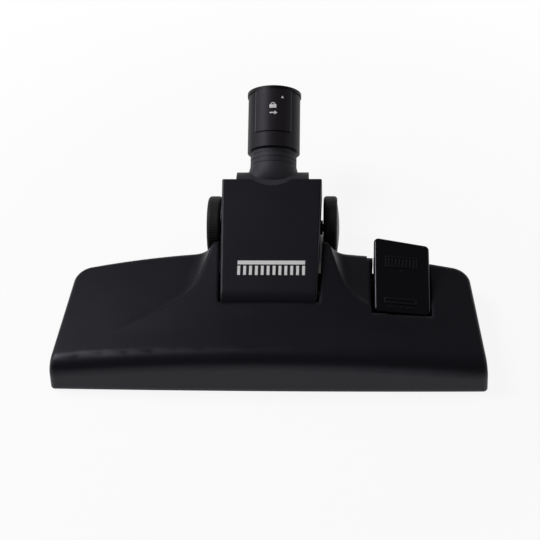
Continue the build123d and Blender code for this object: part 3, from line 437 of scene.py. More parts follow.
@dataclass(frozen=True)
class SoftRubber:
    """Soft black rubber with a dusty bloom, ribbed around the wheels' axle."""

    name: str
    colour: RGB
    centre: Point = (0.082, 0.023)
    ribs: int = 72
    rib_edge: float = 0.4
    roughness: float = 0.6
    specular: float = 0.3
    relief: float = 0.5
    depth: float = 0.0003
    grain: float = 1800.0
    grain_share: float = 0.2
    bloom: float = 70.0
    bloom_levels: Point = (0.45, 0.75)
    bloom_share: float = 0.6
    bloom_tone: float = 2.4
    bloom_rough: float = 0.2

    def material(self) -> bpy.types.Material:
        """Build the material.

        Returns:
            The finished material.
        """
        graph = Graph(bpy.data.materials.new(self.name))
        place = graph.place()
        along = graph.node("ShaderNodeSeparateXYZ", None, {0: graph.coords()}, "Y")
        angle = graph.math("ARCTAN2", along.also("Z") - self.centre[1], along - self.centre[0])
        rib = graph.ease(graph.math("SINE", angle * float(self.ribs)), -self.rib_edge, self.rib_edge)
        bloom = graph.noise(place, self.bloom, detail=3.0, rough=0.6)
        film = graph.ease(bloom, *self.bloom_levels) * self.bloom_share
        grain = graph.noise(place, self.grain)
        return graph.surface(
            {
                "Base Color": graph.mix(film, self.colour, shade(self.colour, self.bloom_tone)),
                "Roughness": self.roughness + (bloom - MIDDLE) * self.bloom_rough,
                "Specular IOR Level": self.specular,
                "Normal": graph.bump(grain * self.grain_share + rib, self.relief, self.depth),
            }
        )


@dataclass(frozen=True)
class FibreCloth:
    """Short fibres laid one way, as in felt, pile strips and tufts."""

    name: str
    colour: RGB
    lay: Triple
    spread: float = 0.35
    roughness: float = 0.72
    fibre_rough: float = 0.2
    fibre_share: float = 0.7
    clump: float = 420.0
    clump_share: float = 0.5
    specular: float = 0.25
    sheen: float = 0.25
    relief: float = 0.8
    depth: float = 0.0005

    def material(self) -> bpy.types.Material:
        """Build the material.

        Returns:
            The finished material.
        """
        graph = Graph(bpy.data.materials.new(self.name))
        fibre = graph.noise(graph.place(self.lay), detail=3.0, rough=0.65)
        clump = graph.noise(graph.place(), self.clump)
        height = fibre * self.fibre_share + clump * self.clump_share
        tone = graph.mix(fibre, shade(self.colour, 1 - self.spread), shade(self.colour, 1 + self.spread))
        return graph.surface(
            {
                "Base Color": tone,
                "Roughness": self.roughness + (fibre - MIDDLE) * self.fibre_rough,
                "Specular IOR Level": self.specular,
                "Sheen Weight": self.sheen,
                "Normal": graph.bump(height, self.relief, self.depth),
            }
        )


@dataclass(frozen=True)
class ZincSteel:
    """Steel, plated or blackened, with fine turning marks."""

    name: str
    colour: RGB
    metallic: float = 1.0
    roughness: float = 0.26
    specular: float = 0.5
    tones: Point = (0.8, 1.12)
    cloud: float = 160.0
    cloud_rough: float = 0.16
    turning_stretch: Triple = (5200.0, 600.0, 600.0)
    turning_rough: float = 0.1
    relief: float = 0.3
    depth: float = 0.00002

    def material(self) -> bpy.types.Material:
        """Build the material.

        Returns:
            The finished material.
        """
        graph = Graph(bpy.data.materials.new(self.name))
        fine = graph.noise(graph.place(self.turning_stretch))
        cloud = graph.noise(graph.place(), self.cloud, detail=3.0, rough=0.6)
        dark, light = (shade(self.colour, tone) for tone in self.tones)
        rough = self.roughness + cloud * self.cloud_rough + (fine - MIDDLE) * self.turning_rough
        return graph.surface(
            {
                "Base Color": graph.mix(cloud, dark, light),
                "Metallic": self.metallic,
                "Roughness": rough,
                "Specular IOR Level": self.specular,
                "Normal": graph.bump(fine, self.relief, self.depth),
            }
        )


@dataclass(frozen=True)
class PrintInk:
    """Pad-printed ink with a little wear."""

    name: str
    colour: RGB
    under: RGB
    roughness: float = 0.5
    specular: float = 0.3
    chip: float = 2600.0
    chip_levels: Point = (0.66, 0.76)
    chip_share: float = 0.6
    chip_rough: float = 0.1

    def material(self) -> bpy.types.Material:
        """Build the material.

        Returns:
            The finished material.
        """
        graph = Graph(bpy.data.materials.new(self.name))
        chip = graph.noise(graph.place(), self.chip, detail=3.0, rough=0.7)
        chip = graph.ease(chip, *self.chip_levels)
        return graph.surface(
            {
                "Base Color": graph.mix(chip * self.chip_share, self.colour, self.under),
                "Roughness": self.roughness + chip * self.chip_rough,
                "Specular IOR Level": self.specular,
            }
        )


class Finishes:
    """Materials of the head, made once each."""

    def __init__(self) -> None:
        """Build every finish."""
        black = (0.0048, 0.0046, 0.007)
        self.shell = MouldedPlastic(
            "shell_grain", black, roughness=0.41, scuff=0.3, specular=0.28, soften=3.5 * MM
        ).material()
        self.cover = MouldedPlastic(
            "cover_satin", black, roughness=0.42, grain=1900.0, depth=0.00005, specular=0.28
        ).material()
        self.inner = MouldedPlastic("inner_grey", (0.03, 0.03, 0.032), 0.5, grain=1400.0).material()
        self.neck = MouldedPlastic(
            "neck_grey", (0.023, 0.0222, 0.0265),
            roughness=0.58, grain=1700.0, depth=0.00007, specular=0.36,
        ).material()
        self.collar = ShadedRimPlastic(
            "collar_satin", (0.0165, 0.0126, 0.0165), depth=0.00002, specular=0.2
        ).material()
        # Painted highlight: a light finish for the thin strips that stand for light caught by the collar
        # panel's edges.
        self.edge = MouldedPlastic("panel_edge_highlight", (0.05, 0.047, 0.055), 0.35, depth=0.00001).material()
        self.pedal = MouldedPlastic(
            "pedal_gloss", (0.0023, 0.0023, 0.0027),
            roughness=0.23, grain=1600.0, depth=0.000004, specular=0.3,
        ).material()
        self.sign = MouldedPlastic(
            "pedal_sign_matt", (0.006, 0.006, 0.007),
            roughness=0.34, grain=1600.0, depth=0.00001, specular=0.36,
        ).material()
        self.hub = MouldedPlastic(
            "hub_black", (0.004, 0.004, 0.0044), roughness=0.42, depth=0.00004, specular=0.3
        ).material()
        self.sole = WornSole("sole_worn", (0.014, 0.014, 0.015)).material()
        self.tyre = SoftRubber("tyre_rubber", (0.0042, 0.0042, 0.0042)).material()
        self.seal = SoftRubber("seal_rubber", (0.01, 0.01, 0.01), ribs=0).material()
        self.tuft = FibreCloth("nylon_tuft", (0.012, 0.012, 0.013), (900.0, 900.0, 60.0)).material()
        self.pile = FibreCloth("pile_strip", (0.20, 0.012, 0.014), (1600.0, 240.0, 900.0)).material()
        self.felt = FibreCloth("felt_grey", (0.05, 0.05, 0.05), (700.0, 700.0, 700.0)).material()
        self.steel = ZincSteel("zinc_steel", (0.56, 0.56, 0.58)).material()
        self.oiled = ZincSteel(
            "black_oxide_steel", (0.004, 0.004, 0.004), metallic=0.0, roughness=0.6, specular=0.12
        ).material()
        self.ink = PrintInk("white_ink", (0.8, 0.8, 0.8), (0.05, 0.05, 0.05)).material()


def dress(names: Iterable[str], material: bpy.types.Material) -> None:
    """Give CAD nodes a finish.

    Args:
        names: Node names.
        material: The finish.
    """
    for name in names:
        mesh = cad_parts[name].data
        mesh.materials.clear()
        mesh.materials.append(material)
        LOG.info("dressed %s in %s", name, material.name)


def finish_piece(
    mesh_data: bmesh.types.BMesh,
    name: str,
    body: Body,
    material: bpy.types.Material,
    sharp_deg: float = 35.0,
) -> bpy.types.Object:
    """Turn a bmesh into a piece that rides on a body.

    Args:
        mesh_data: The modelled shape, in place; freed here.
        name: Name of the piece.
        body: Body that carries it.
        material: Its finish.
        sharp_deg: Edges above this angle stay sharp.

    Returns:
        The new object.
    """
    bmesh.ops.recalc_face_normals(mesh_data, faces=mesh_data.faces)
    mesh = bpy.data.meshes.new(name)
    mesh_data.to_mesh(mesh)
    mesh_data.free()
    mesh.shade_smooth()
    mesh.set_sharp_from_angle(angle=math.radians(sharp_deg))
    mesh.materials.append(material)
    piece = bpy.data.objects.new(name, mesh)
    bpy.context.scene.collection.objects.link(piece)
    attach(piece, body.value)
    LOG.info("built %s on %s with %d faces", name, body.value, len(mesh.polygons))
    return piece


def add_box(shape: bmesh.types.BMesh, place: Matrix, size: Sequence[float], edge: float = 0.0) -> None:
    """Add a box with eased edges to a bmesh.

    Args:
        shape: The bmesh to add to.
        place: Where its middle goes.
        size: Its three lengths.
        edge: Width of the eased edges.
    """
    made = bmesh.ops.create_cube(shape, size=1.0)
    verts = made["verts"]
    bmesh.ops.scale(shape, vec=Vector(size), verts=verts)
    if edge > 0:
        edges = list({e for v in verts for e in v.link_edges})
        cut = bmesh.ops.bevel(
            shape,
            geom=edges,
            offset=edge,
            offset_type="OFFSET",
            segments=2,
            profile=0.5,
            affect="EDGES",
            material=-1,
        )
        verts = list({v for f in cut["faces"] for v in f.verts} | {v for v in verts if v.is_valid})
    bmesh.ops.transform(shape, matrix=place, verts=verts)


def ring_edges(verts: Sequence[bmesh.types.BMVert]) -> list[bmesh.types.BMEdge]:
    """Edges that run only between the given vertices.

    Args:
        verts: Vertices of a ring.

    Returns:
        The ring's edges.
    """
    touching = {edge for vert in verts for edge in vert.link_edges}
    return [edge for edge in touching if all(vert in verts for vert in edge.verts)]


def pull_edges(
    shape: bmesh.types.BMesh, edges: Sequence[bmesh.types.BMEdge], height: float
) -> list[bmesh.types.BMVert]:
    """Extrude a ring of edges and raise the new ring.

    Args:
        shape: The bmesh to add to.
        edges: Edges of the ring.
        height: How far the new ring goes up.

    Returns:
        Vertices of the new ring.
    """
    made = bmesh.ops.extrude_edge_only(shape, edges=edges)
    fresh = [item for item in made["geom"] if isinstance(item, bmesh.types.BMVert)]
    bmesh.ops.translate(shape, vec=(0.0, 0.0, height), verts=fresh)
    return fresh


def add_plate(shape: bmesh.types.BMesh, place: Matrix, outline: Outline, height: float) -> None:
    """Add a flat plate of any outline, pulled up along its own Z.

    Args:
        shape: The bmesh to add to.
        place: Where its outline's origin goes.
        outline: Corner points in order.
        height: How far it is pulled.
    """
    corners = [shape.verts.new((x, y, 0.0)) for x, y in outline]
    face = shape.faces.new(corners)
    made = bmesh.ops.extrude_face_region(shape, geom=[face])
    top = [item for item in made["geom"] if isinstance(item, bmesh.types.BMVert)]
    bmesh.ops.translate(shape, vec=(0.0, 0.0, height), verts=top)
    bmesh.ops.transform(shape, matrix=place, verts=corners + top)


class Assembly:
    """Base of the sub-assemblies; coats gives the nodes of each finish by its name in Finishes."""

    coats: ClassVar[Coats] = {}

    def build(self, finishes: Finishes) -> None:
        """Model the pieces; none unless a sub-assembly has its own.

        Args:
            finishes: Materials of the head.
        """

    def dress(self, finishes: Finishes) -> None:
        """Give the nodes their finishes.

        Args:
            finishes: Materials of the head.
        """
        for finish, nodes in self.coats.items():
            dress(nodes, getattr(finishes, finish))


@dataclass
class HeadShell(Assembly):
    """Housing, its bearings and the parts fixed in it."""

    coats: ClassVar[Coats] = {
        "shell": ("upper_housing",),
        "inner": ("left_trunnion_cap", "right_trunnion_cap"),
        "steel": ("cap_screws",),
        "oiled": ("pedal_pin", "pedal_leaf"),
        "felt": ("drum_seal",),
    }


@dataclass
class SolePlate(Assembly):
    """Sole with its screws and thread lifters."""

    coats: ClassVar[Coats] = {
        "sole": ("sole_plate",),
        "steel": ("sole_screws",),
        "pile": ("front_thread_lifter", "rear_thread_lifter"),
    }
    spots_mm: tuple[Point, ...] = ((132.0, -12.0), (48.0, -12.0), (52.0, 22.0))
    head_r: float = 3.0 * MM
    shank_r: float = 1.5 * MM
    head_low: float = 0.3 * MM
    head_top: float = 1.6 * MM
    shank_top: float = 15.6 * MM
    recess_r: float = 1.75 * MM
    recess_half: float = 0.42 * MM
    recess_depth: float = 0.9 * MM
    sides: int = 28

    def build(self, finishes: Finishes) -> None:
        """Model the cross-head screws.

        Args:
            finishes: Materials of the head.
        """
        shape = bmesh.new()
        for x, y in self.spots_mm:
            for side in SIDES:
                self.add_screw(shape, Matrix.Translation((side * x * MM, y * MM, 0.0)))
        piece = finish_piece(shape, "sole_screw_heads", Body.HEAD, finishes.steel)
        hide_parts("sole_screws")

    def add_screw(self, shape: bmesh.types.BMesh, place: Matrix) -> None:
        """Add one screw that points up, with a cross recess in its lower face.

        Args:
            shape: The bmesh to add to.
            place: Where its axis meets the floor.
        """
        before = set(shape.verts)
        made = bmesh.ops.create_circle(shape, cap_ends=False, segments=self.sides, radius=self.head_r)
        rim = made["verts"]
        bmesh.ops.translate(shape, vec=(0.0, 0.0, self.head_low), verts=rim)
        rim_edges = ring_edges(rim)
        reach, half = self.recess_r, self.recess_half
        arm = ((reach, -half), (reach, half), (half, half))
        points = []
        for quarter in range(4):
            c, s = math.cos(quarter * math.pi / 2), math.sin(quarter * math.pi / 2)
            points += [(c * u - s * v, s * u + c * v) for u, v in arm]
        cross = [shape.verts.new((x, y, self.head_low)) for x, y in points]
        loop = [shape.edges.new((cross[i], cross[(i + 1) % len(cross)])) for i in range(len(cross))]
        bmesh.ops.bridge_loops(shape, edges=rim_edges + loop)
        floor = pull_edges(shape, loop, self.recess_depth)
        bmesh.ops.contextual_create(shape, geom=ring_edges(floor))
        top = pull_edges(shape, rim_edges, self.head_top - self.head_low)
        neck = pull_edges(shape, ring_edges(top), 0.0)
        share = self.shank_r / self.head_r
        bmesh.ops.scale(shape, vec=(share, share, 1.0), verts=neck)
        tip = pull_edges(shape, ring_edges(neck), self.shank_top - self.head_top)
        bmesh.ops.contextual_create(shape, geom=ring_edges(tip))
        fresh = [v for v in shape.verts if v not in before]
        bmesh.ops.transform(shape, matrix=place, verts=fresh)


@dataclass
class BristleRow(Assembly):
    """A strip of nylon tufts in a backing."""

    name: str
    node: str
    spans: tuple[Point, ...]
    y: float
    back_low: float = 9.2 * MM
    back_top: float = 14.2 * MM
    back_width: float = 3.0 * MM
    back_edge: float = 0.3 * MM
    end_gap: float = 0.4 * MM
    tip: float = 0.8 * MM
    pitch: float = 6.0 * MM
    round_up: float = 1e-6
    tuft: float = 4.6 * MM
    columns: int = 6
    rows: int = 4
    fibre_r: float = 0.24 * MM
    fibre_taper: float = 0.7
    fibre_sides: int = 5
    seed_steps: tuple[int, int, int] = (97, 31, 17)
    lean: float = 0.02
    lean_waves: Point = (1.7, 2.3)
    lean_shift: float = 1.0
    uneven: float = 0.1 * MM
    uneven_wave: float = 0.9
    sharp_deg: float = 50.0

    def build(self, finishes: Finishes) -> None:
        """Model the backing and its fibres.

        Args:
            finishes: Materials of the head.
        """
        shape = bmesh.new()
        for low, high in self.spans:
            length = high - low - 2 * self.end_gap
            size = (length, self.back_width, self.back_top - self.back_low)
            middle = ((low + high) / 2, self.y, (self.back_low + self.back_top) / 2)
            add_box(shape, Matrix.Translation(middle), size, self.back_edge)
            count = int((high - low) / self.pitch + self.round_up)
            first = (low + high) / 2 - (count - 1) * self.pitch / 2
            for index in range(count):
                self.add_tuft(shape, first + index * self.pitch, index)
        piece = finish_piece(shape, self.name, Body.BRUSH, finishes.tuft, self.sharp_deg)
        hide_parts(self.node)

    def add_tuft(self, shape: bmesh.types.BMesh, x: float, index: int) -> None:
        """Add one tuft of leaning fibres.

        Args:
            shape: The bmesh to add to.
            x: Middle of the tuft.
            index: Its place in the row, which sets the lean of its fibres.
        """
        length = self.back_low - self.tip
        step_x = (self.tuft - 2 * self.fibre_r) / (self.columns - 1)
        step_y = (self.back_width - 2 * self.fibre_r) / (self.rows - 1)
        by_tuft, by_column, by_row = self.seed_steps
        wave_x, wave_y = self.lean_waves
        for column in range(self.columns):
            for row in range(self.rows):
                seed = index * by_tuft + column * by_column + row * by_row
                lean_x = math.sin(seed * wave_x) * self.lean
                lean_y = math.sin(seed * wave_y + self.lean_shift) * self.lean
                lift = self.uneven * (1 + math.sin(seed * self.uneven_wave))
                spot = Vector(
                    (
                        x + (column - (self.columns - 1) / 2) * step_x,
                        self.y + (row - (self.rows - 1) / 2) * step_y,
                        self.tip + length / 2 + lift,
                    )
                )
                turn = Matrix.Rotation(lean_x, 4, "Y") @ Matrix.Rotation(lean_y, 4, "X")
                bmesh.ops.create_cone(
                    shape,
                    cap_ends=True,
                    segments=self.fibre_sides,
                    radius1=self.fibre_r * self.fibre_taper,
                    radius2=self.fibre_r,
                    depth=length,
                    matrix=Matrix.Translation(spot) @ turn,
                )

    def dress(self, finishes: Finishes) -> None:
        """Give the hidden node its finish.

        Args:
            finishes: Materials of the head.
        """
        dress((self.node,), finishes.tuft)


@dataclass
class Pedal(Assembly):
    """Rocker pedal with its moulded floor signs."""

    coats: ClassVar[Coats] = {"pedal": ("pedal",)}
    middle: Triple = (91.9 * MM, 23.2 * MM, 36.05 * MM)
    rise: float = math.atan(15.1 / 53.2)
    roll: float = math.radians(7.5)
    sink: float = 0.15 * MM
    relief: float = 0.6 * MM
    line: float = 0.9 * MM
    line_edge: float = 0.12 * MM
    sign_width: float = 22.4 * MM
    carpet_at: Point = (-0.8 * MM, 10.6 * MM)
    carpet_height: float = 8.4 * MM
    teeth: int = 8
    teeth_gap: float = 2.6
    floor_at: Point = (-0.6 * MM, -19.2 * MM)
    floor_height: float = 3.9 * MM
    arrow: float = 1.7 * MM
    arrow_share: float = 0.6
    arrow_drop: float = 2.9 * MM
    dash_at: float = 6.2 * MM
    dash_width: float = 5.0 * MM

    def at(self, x: float, y: float) -> Matrix:
        """Frame on the pedal's top, sunk a little so that a sign is rooted in it.

        Args:
            x: Place across the pedal.
            y: Place up its slope.

        Returns:
            The frame, with X to the right, Y up the slope and Z out.
        """
        turn = Matrix.Rotation(self.roll, 4, "Y") @ Matrix.Rotation(self.rise, 4, "X")
        return Matrix.Translation(self.middle) @ turn @ Matrix.Translation((x, y, -self.sink))

    def add_bar(self, shape: bmesh.types.BMesh, x: float, y: float, wide: float, deep: float) -> None:
        """Add a raised bar of a sign.

        Args:
            shape: The bmesh to add to.
            x: Its middle across the pedal.
            y: Its middle up the slope.
            wide: Its size across.
            deep: Its size up the slope.
        """
        tall = self.sink + self.relief
        place = self.at(x, y) @ Matrix.Translation((0.0, 0.0, tall / 2))
        add_box(shape, place, (wide, deep, tall), self.line_edge)

    def add_frame(self, shape: bmesh.types.BMesh, middle: Point, height: float) -> None:
        """Add the outline of a sign.

        Args:
            shape: The bmesh to add to.
            middle: Its middle on the pedal.
            height: Its size up the slope.
        """
        x, y = middle
        for side in SIDES:
            self.add_bar(shape, x, y + side * (height - self.line) / 2, self.sign_width, self.line)
            upright = height - 2 * self.line
            self.add_bar(shape, x + side * (self.sign_width - self.line) / 2, y, self.line, upright)

    def add_arrow(self, shape: bmesh.types.BMesh, x: float, y: float) -> None:
        """Add a small wedge that points down the slope.

        Args:
            shape: The bmesh to add to.
            x: Its middle across the pedal.
            y: Its middle up the slope.
        """
        half, tall = self.arrow, self.arrow * self.arrow_share
        wedge = ((-half, tall), (0.0, -tall), (half, tall))
        add_plate(shape, self.at(x, y), wedge, self.sink + self.relief)

    def build(self, finishes: Finishes) -> None:
        """Model the signs for pile, a framed row of fibres, and for a bare floor, an empty bar.

        Args:
            finishes: Materials of the head.
        """
        x0, y0 = self.carpet_at
        shape = bmesh.new()
        self.add_frame(shape, self.carpet_at, self.carpet_height)
        for index in range(self.teeth):
            x = x0 + (index - (self.teeth - 1) / 2) * self.sign_width / (self.teeth + 1)
            self.add_bar(shape, x, y0, self.line, self.carpet_height - self.teeth_gap * self.line)
        self.add_arrow(shape, x0, y0 - self.carpet_height / 2 - self.arrow_drop)
        finish_piece(shape, "pedal_carpet_sign", Body.PEDAL, finishes.sign)
        x0, y0 = self.floor_at
        shape = bmesh.new()
        self.add_frame(shape, self.floor_at, self.floor_height)
        low = y0 - self.floor_height / 2 - self.arrow_drop
        self.add_arrow(shape, x0, low)
        for side in SIDES:
            self.add_bar(shape, x0 + side * self.dash_at, low, self.dash_width, self.line)
        finish_piece(shape, "pedal_floor_sign", Body.PEDAL, finishes.sign)


@dataclass
class Link(Assembly):
    """Hinged link with its cover, frame, screws and wheel axles."""

    coats: ClassVar[Coats] = {
        "cover": ("link_cover",),
        "shell": ("link_frame",),
        "steel": ("link_screws", "left_wheel_axle", "right_wheel_axle"),
    }
    plate_at: Triple = (0.0, 10.6 * MM, 37.621 * MM)
    pitch: float = math.radians(15.0)
    sign_at: Triple = (1.3 * MM, 15.8 * MM, 0.0)
    sign_size: Point = (47.0 * MM, 11.2 * MM)
    bar: float = 3.0 * MM
    strokes: int = 12
    stroke: float = 2.0 * MM
    lift: float = 0.05 * MM

    def build(self, finishes: Finishes) -> None:
        """Print a plain brush sign on the cover: a back and its bristles.

        Args:
            finishes: Materials of the head.
        """
        plate = Matrix.Translation(self.plate_at) @ Matrix.Rotation(self.pitch, 4, "X")
        base = plate @ Matrix.Translation(self.sign_at)
        wide, high = self.sign_size
        shape = bmesh.new()
        back = base @ Matrix.Translation((0.0, (high - self.bar) / 2, 0.0))
        add_box(shape, back, (wide, self.bar, 2 * self.lift))
        length = high - self.bar - self.stroke / 2
        for index in range(self.strokes):
            x = (index / (self.strokes - 1) - 0.5) * (wide - self.stroke)
            spot = base @ Matrix.Translation((x, (length - high) / 2, 0.0))
            add_box(shape, spot, (self.stroke, length, 2 * self.lift))
        finish_piece(shape, "cover_brush_sign", Body.LINK, finishes.ink)


@dataclass
class Wheels(Assembly):
    """Pair of running wheels."""

    coats: ClassVar[Coats] = {
        "hub": ("left_wheel_hub", "left_wheel_cap", "right_wheel_hub", "right_wheel_cap"),
        "tyre": ("left_wheel_tyre", "right_wheel_tyre"),
    }


@dataclass
class Neck(Assembly):
    """Neck elbow with its swivel tube and seals."""

    coats: ClassVar[Coats] = {
        "neck": ("neck_elbow", "swivel_tube"),
        "steel": ("retaining_ring",),
        "seal": ("seal_ring",),
    }
    pivot: Triple = (0.0, 97.661 * MM, 40.347 * MM)
    pitch: float = NECK_PITCH


@dataclass
class LockCollar(Assembly):
    """Twist-lock collar with its printed signs on the raised panel; outlines are in millimetres."""

    coats: ClassVar[Coats] = {"collar": ("lock_collar",)}
    neck: Neck = field(default_factory=Neck)
    panel_r: float = 20.1 * MM
    lift: float = 0.06 * MM
    cuts_mm: tuple[float, ...] = (-2.0, -1.0, 0.0, 1.0, 2.0)
    lock_station: float = 62.4 * MM
    lock_body: Outline = ((-2.5, -1.7), (2.5, -1.7), (2.5, 0.9), (-2.5, 0.9))
    shackle_low: float = 0.9
    shackle_radii: Point = (1.7, 1.1)
    shackle_step: int = 20
    arrow_station: float = 57.0 * MM
    arrow_angle: float = math.radians(1.0)
    arrow: Outline = (
        (-2.6, -0.45), (0.7, -0.45), (0.7, -1.5), (3.1, 0.0), (0.7, 1.5), (0.7, 0.45), (-2.6, 0.45)
    )
    mark_station: float = 69.3 * MM
    mark_angle: float = math.radians(19.9)
    mark: Outline = ((-1.1, -0.8), (1.1, -0.8), (0.0, 1.2))
    # Place and outline of the painted highlight strips along the panel's edges.
    edge_highlight_station: float = 44.2 * MM
    edge_highlight_angles: Point = (math.radians(-39.5), math.radians(40.5))
    edge: Outline = ((-0.35, 0.0), (0.35, 0.0), (0.35, 30.4), (-0.35, 30.4))

    def wrap(self, shape: bmesh.types.BMesh, station: float, angle: float) -> None:
        """Lay a flat sign on the panel, its X around the collar and its Y along it.

        Args:
            shape: The flat sign; its vertices are moved.
            station: Place of its origin along the neck.
            angle: Place of its origin around the collar, in radians from the top.
        """
        radius = self.panel_r + self.lift
        turn = Matrix.Rotation(self.neck.pitch, 4, "X")
        base = Matrix.Translation(self.neck.pivot) @ turn
        for vert in shape.verts:
            around = angle + vert.co.x / radius
            out = radius + vert.co.z
            vert.co = base @ Vector((math.sin(around) * out, station + vert.co.y, math.cos(around) * out))

    def sign(
        self,
        outlines: Sequence[Outline],
        name: str,
        station: float,
        angle: float,
        ink: bpy.types.Material,
    ) -> None:
        """Build one printed sign or painted highlight strip from flat outlines, cut in strips so that it bends
        with the panel.

        Args:
            outlines: Closed outlines in millimetres.
            name: Name of the piece.
            station: Place along the neck.
            angle: Place around the collar, in radians.
            ink: The print's material, or the painted highlight's.
        """
        shape = bmesh.new()
        thick = self.lift * 2
        for outline in outlines:
            points = [(x * MM, y * MM) for x, y in outline]
            add_plate(shape, Matrix.Translation((0.0, 0.0, -thick)), points, thick)
        for cut in self.cuts_mm:
            geometry = list(shape.verts) + list(shape.edges) + list(shape.faces)
            spot = (cut * MM, 0.0, 0.0)
            bmesh.ops.bisect_plane(shape, geom=geometry, plane_co=spot, plane_no=(1.0, 0.0, 0.0))
        self.wrap(shape, station, angle)
        finish_piece(shape, name, Body.COLLAR, ink)

    def shackle(self) -> list[Point]:
        """Outline of the padlock's bow: over its outside and back along its inside.

        Returns:
            Its corner points in millimetres.
        """
        outer, inner = self.shackle_radii
        steps = range(0, 181, self.shackle_step)
        points = []
        for radius, angles in ((outer, steps), (inner, reversed(steps))):
            for angle in map(math.radians, angles):
                points.append((radius * math.cos(angle), self.shackle_low + radius * math.sin(angle)))
        return points

    def build(self, finishes: Finishes) -> None:
        """Build the padlock, arrow and setting mark, and the panel's two edge lines: light strips that paint
        the highlight on the panel's edges.

        Args:
            finishes: Materials of the head.
        """
        lock = (self.lock_body, self.shackle())
        self.sign(lock, "collar_lock_sign", self.lock_station, 0.0, finishes.ink)
        self.sign((self.arrow,), "collar_arrow_sign", self.arrow_station, self.arrow_angle, finishes.ink)
        self.sign((self.mark,), "collar_setting_mark", self.mark_station, self.mark_angle, finishes.ink)
        # Painted highlight: two light strips along the panel's edges.
        for side, angle in zip(("left", "right"), self.edge_highlight_angles):
            self.sign((self.edge,), f"collar_panel_edge_{side}", self.edge_highlight_station, angle, finishes.edge)


@dataclass(frozen=True)
class Lamp:
    """One soft studio lamp."""

    name: str
    place: Triple
    aim: Triple
    size: float
    watts: float

    def hang(self) -> None:
        """Add the lamp to the scene."""
        data = bpy.data.lights.new(self.name, "AREA")
        data.shape = "SQUARE"
        data.size = self.size
        data.energy = self.watts
        lamp = bpy.data.objects.new(self.name, data)
        lamp.location = self.place
        way = Vector(self.aim) - Vector(self.place)
        lamp.rotation_euler = way.to_track_quat("-Z", "Y").to_euler()
        bpy.context.scene.collection.objects.link(lamp)


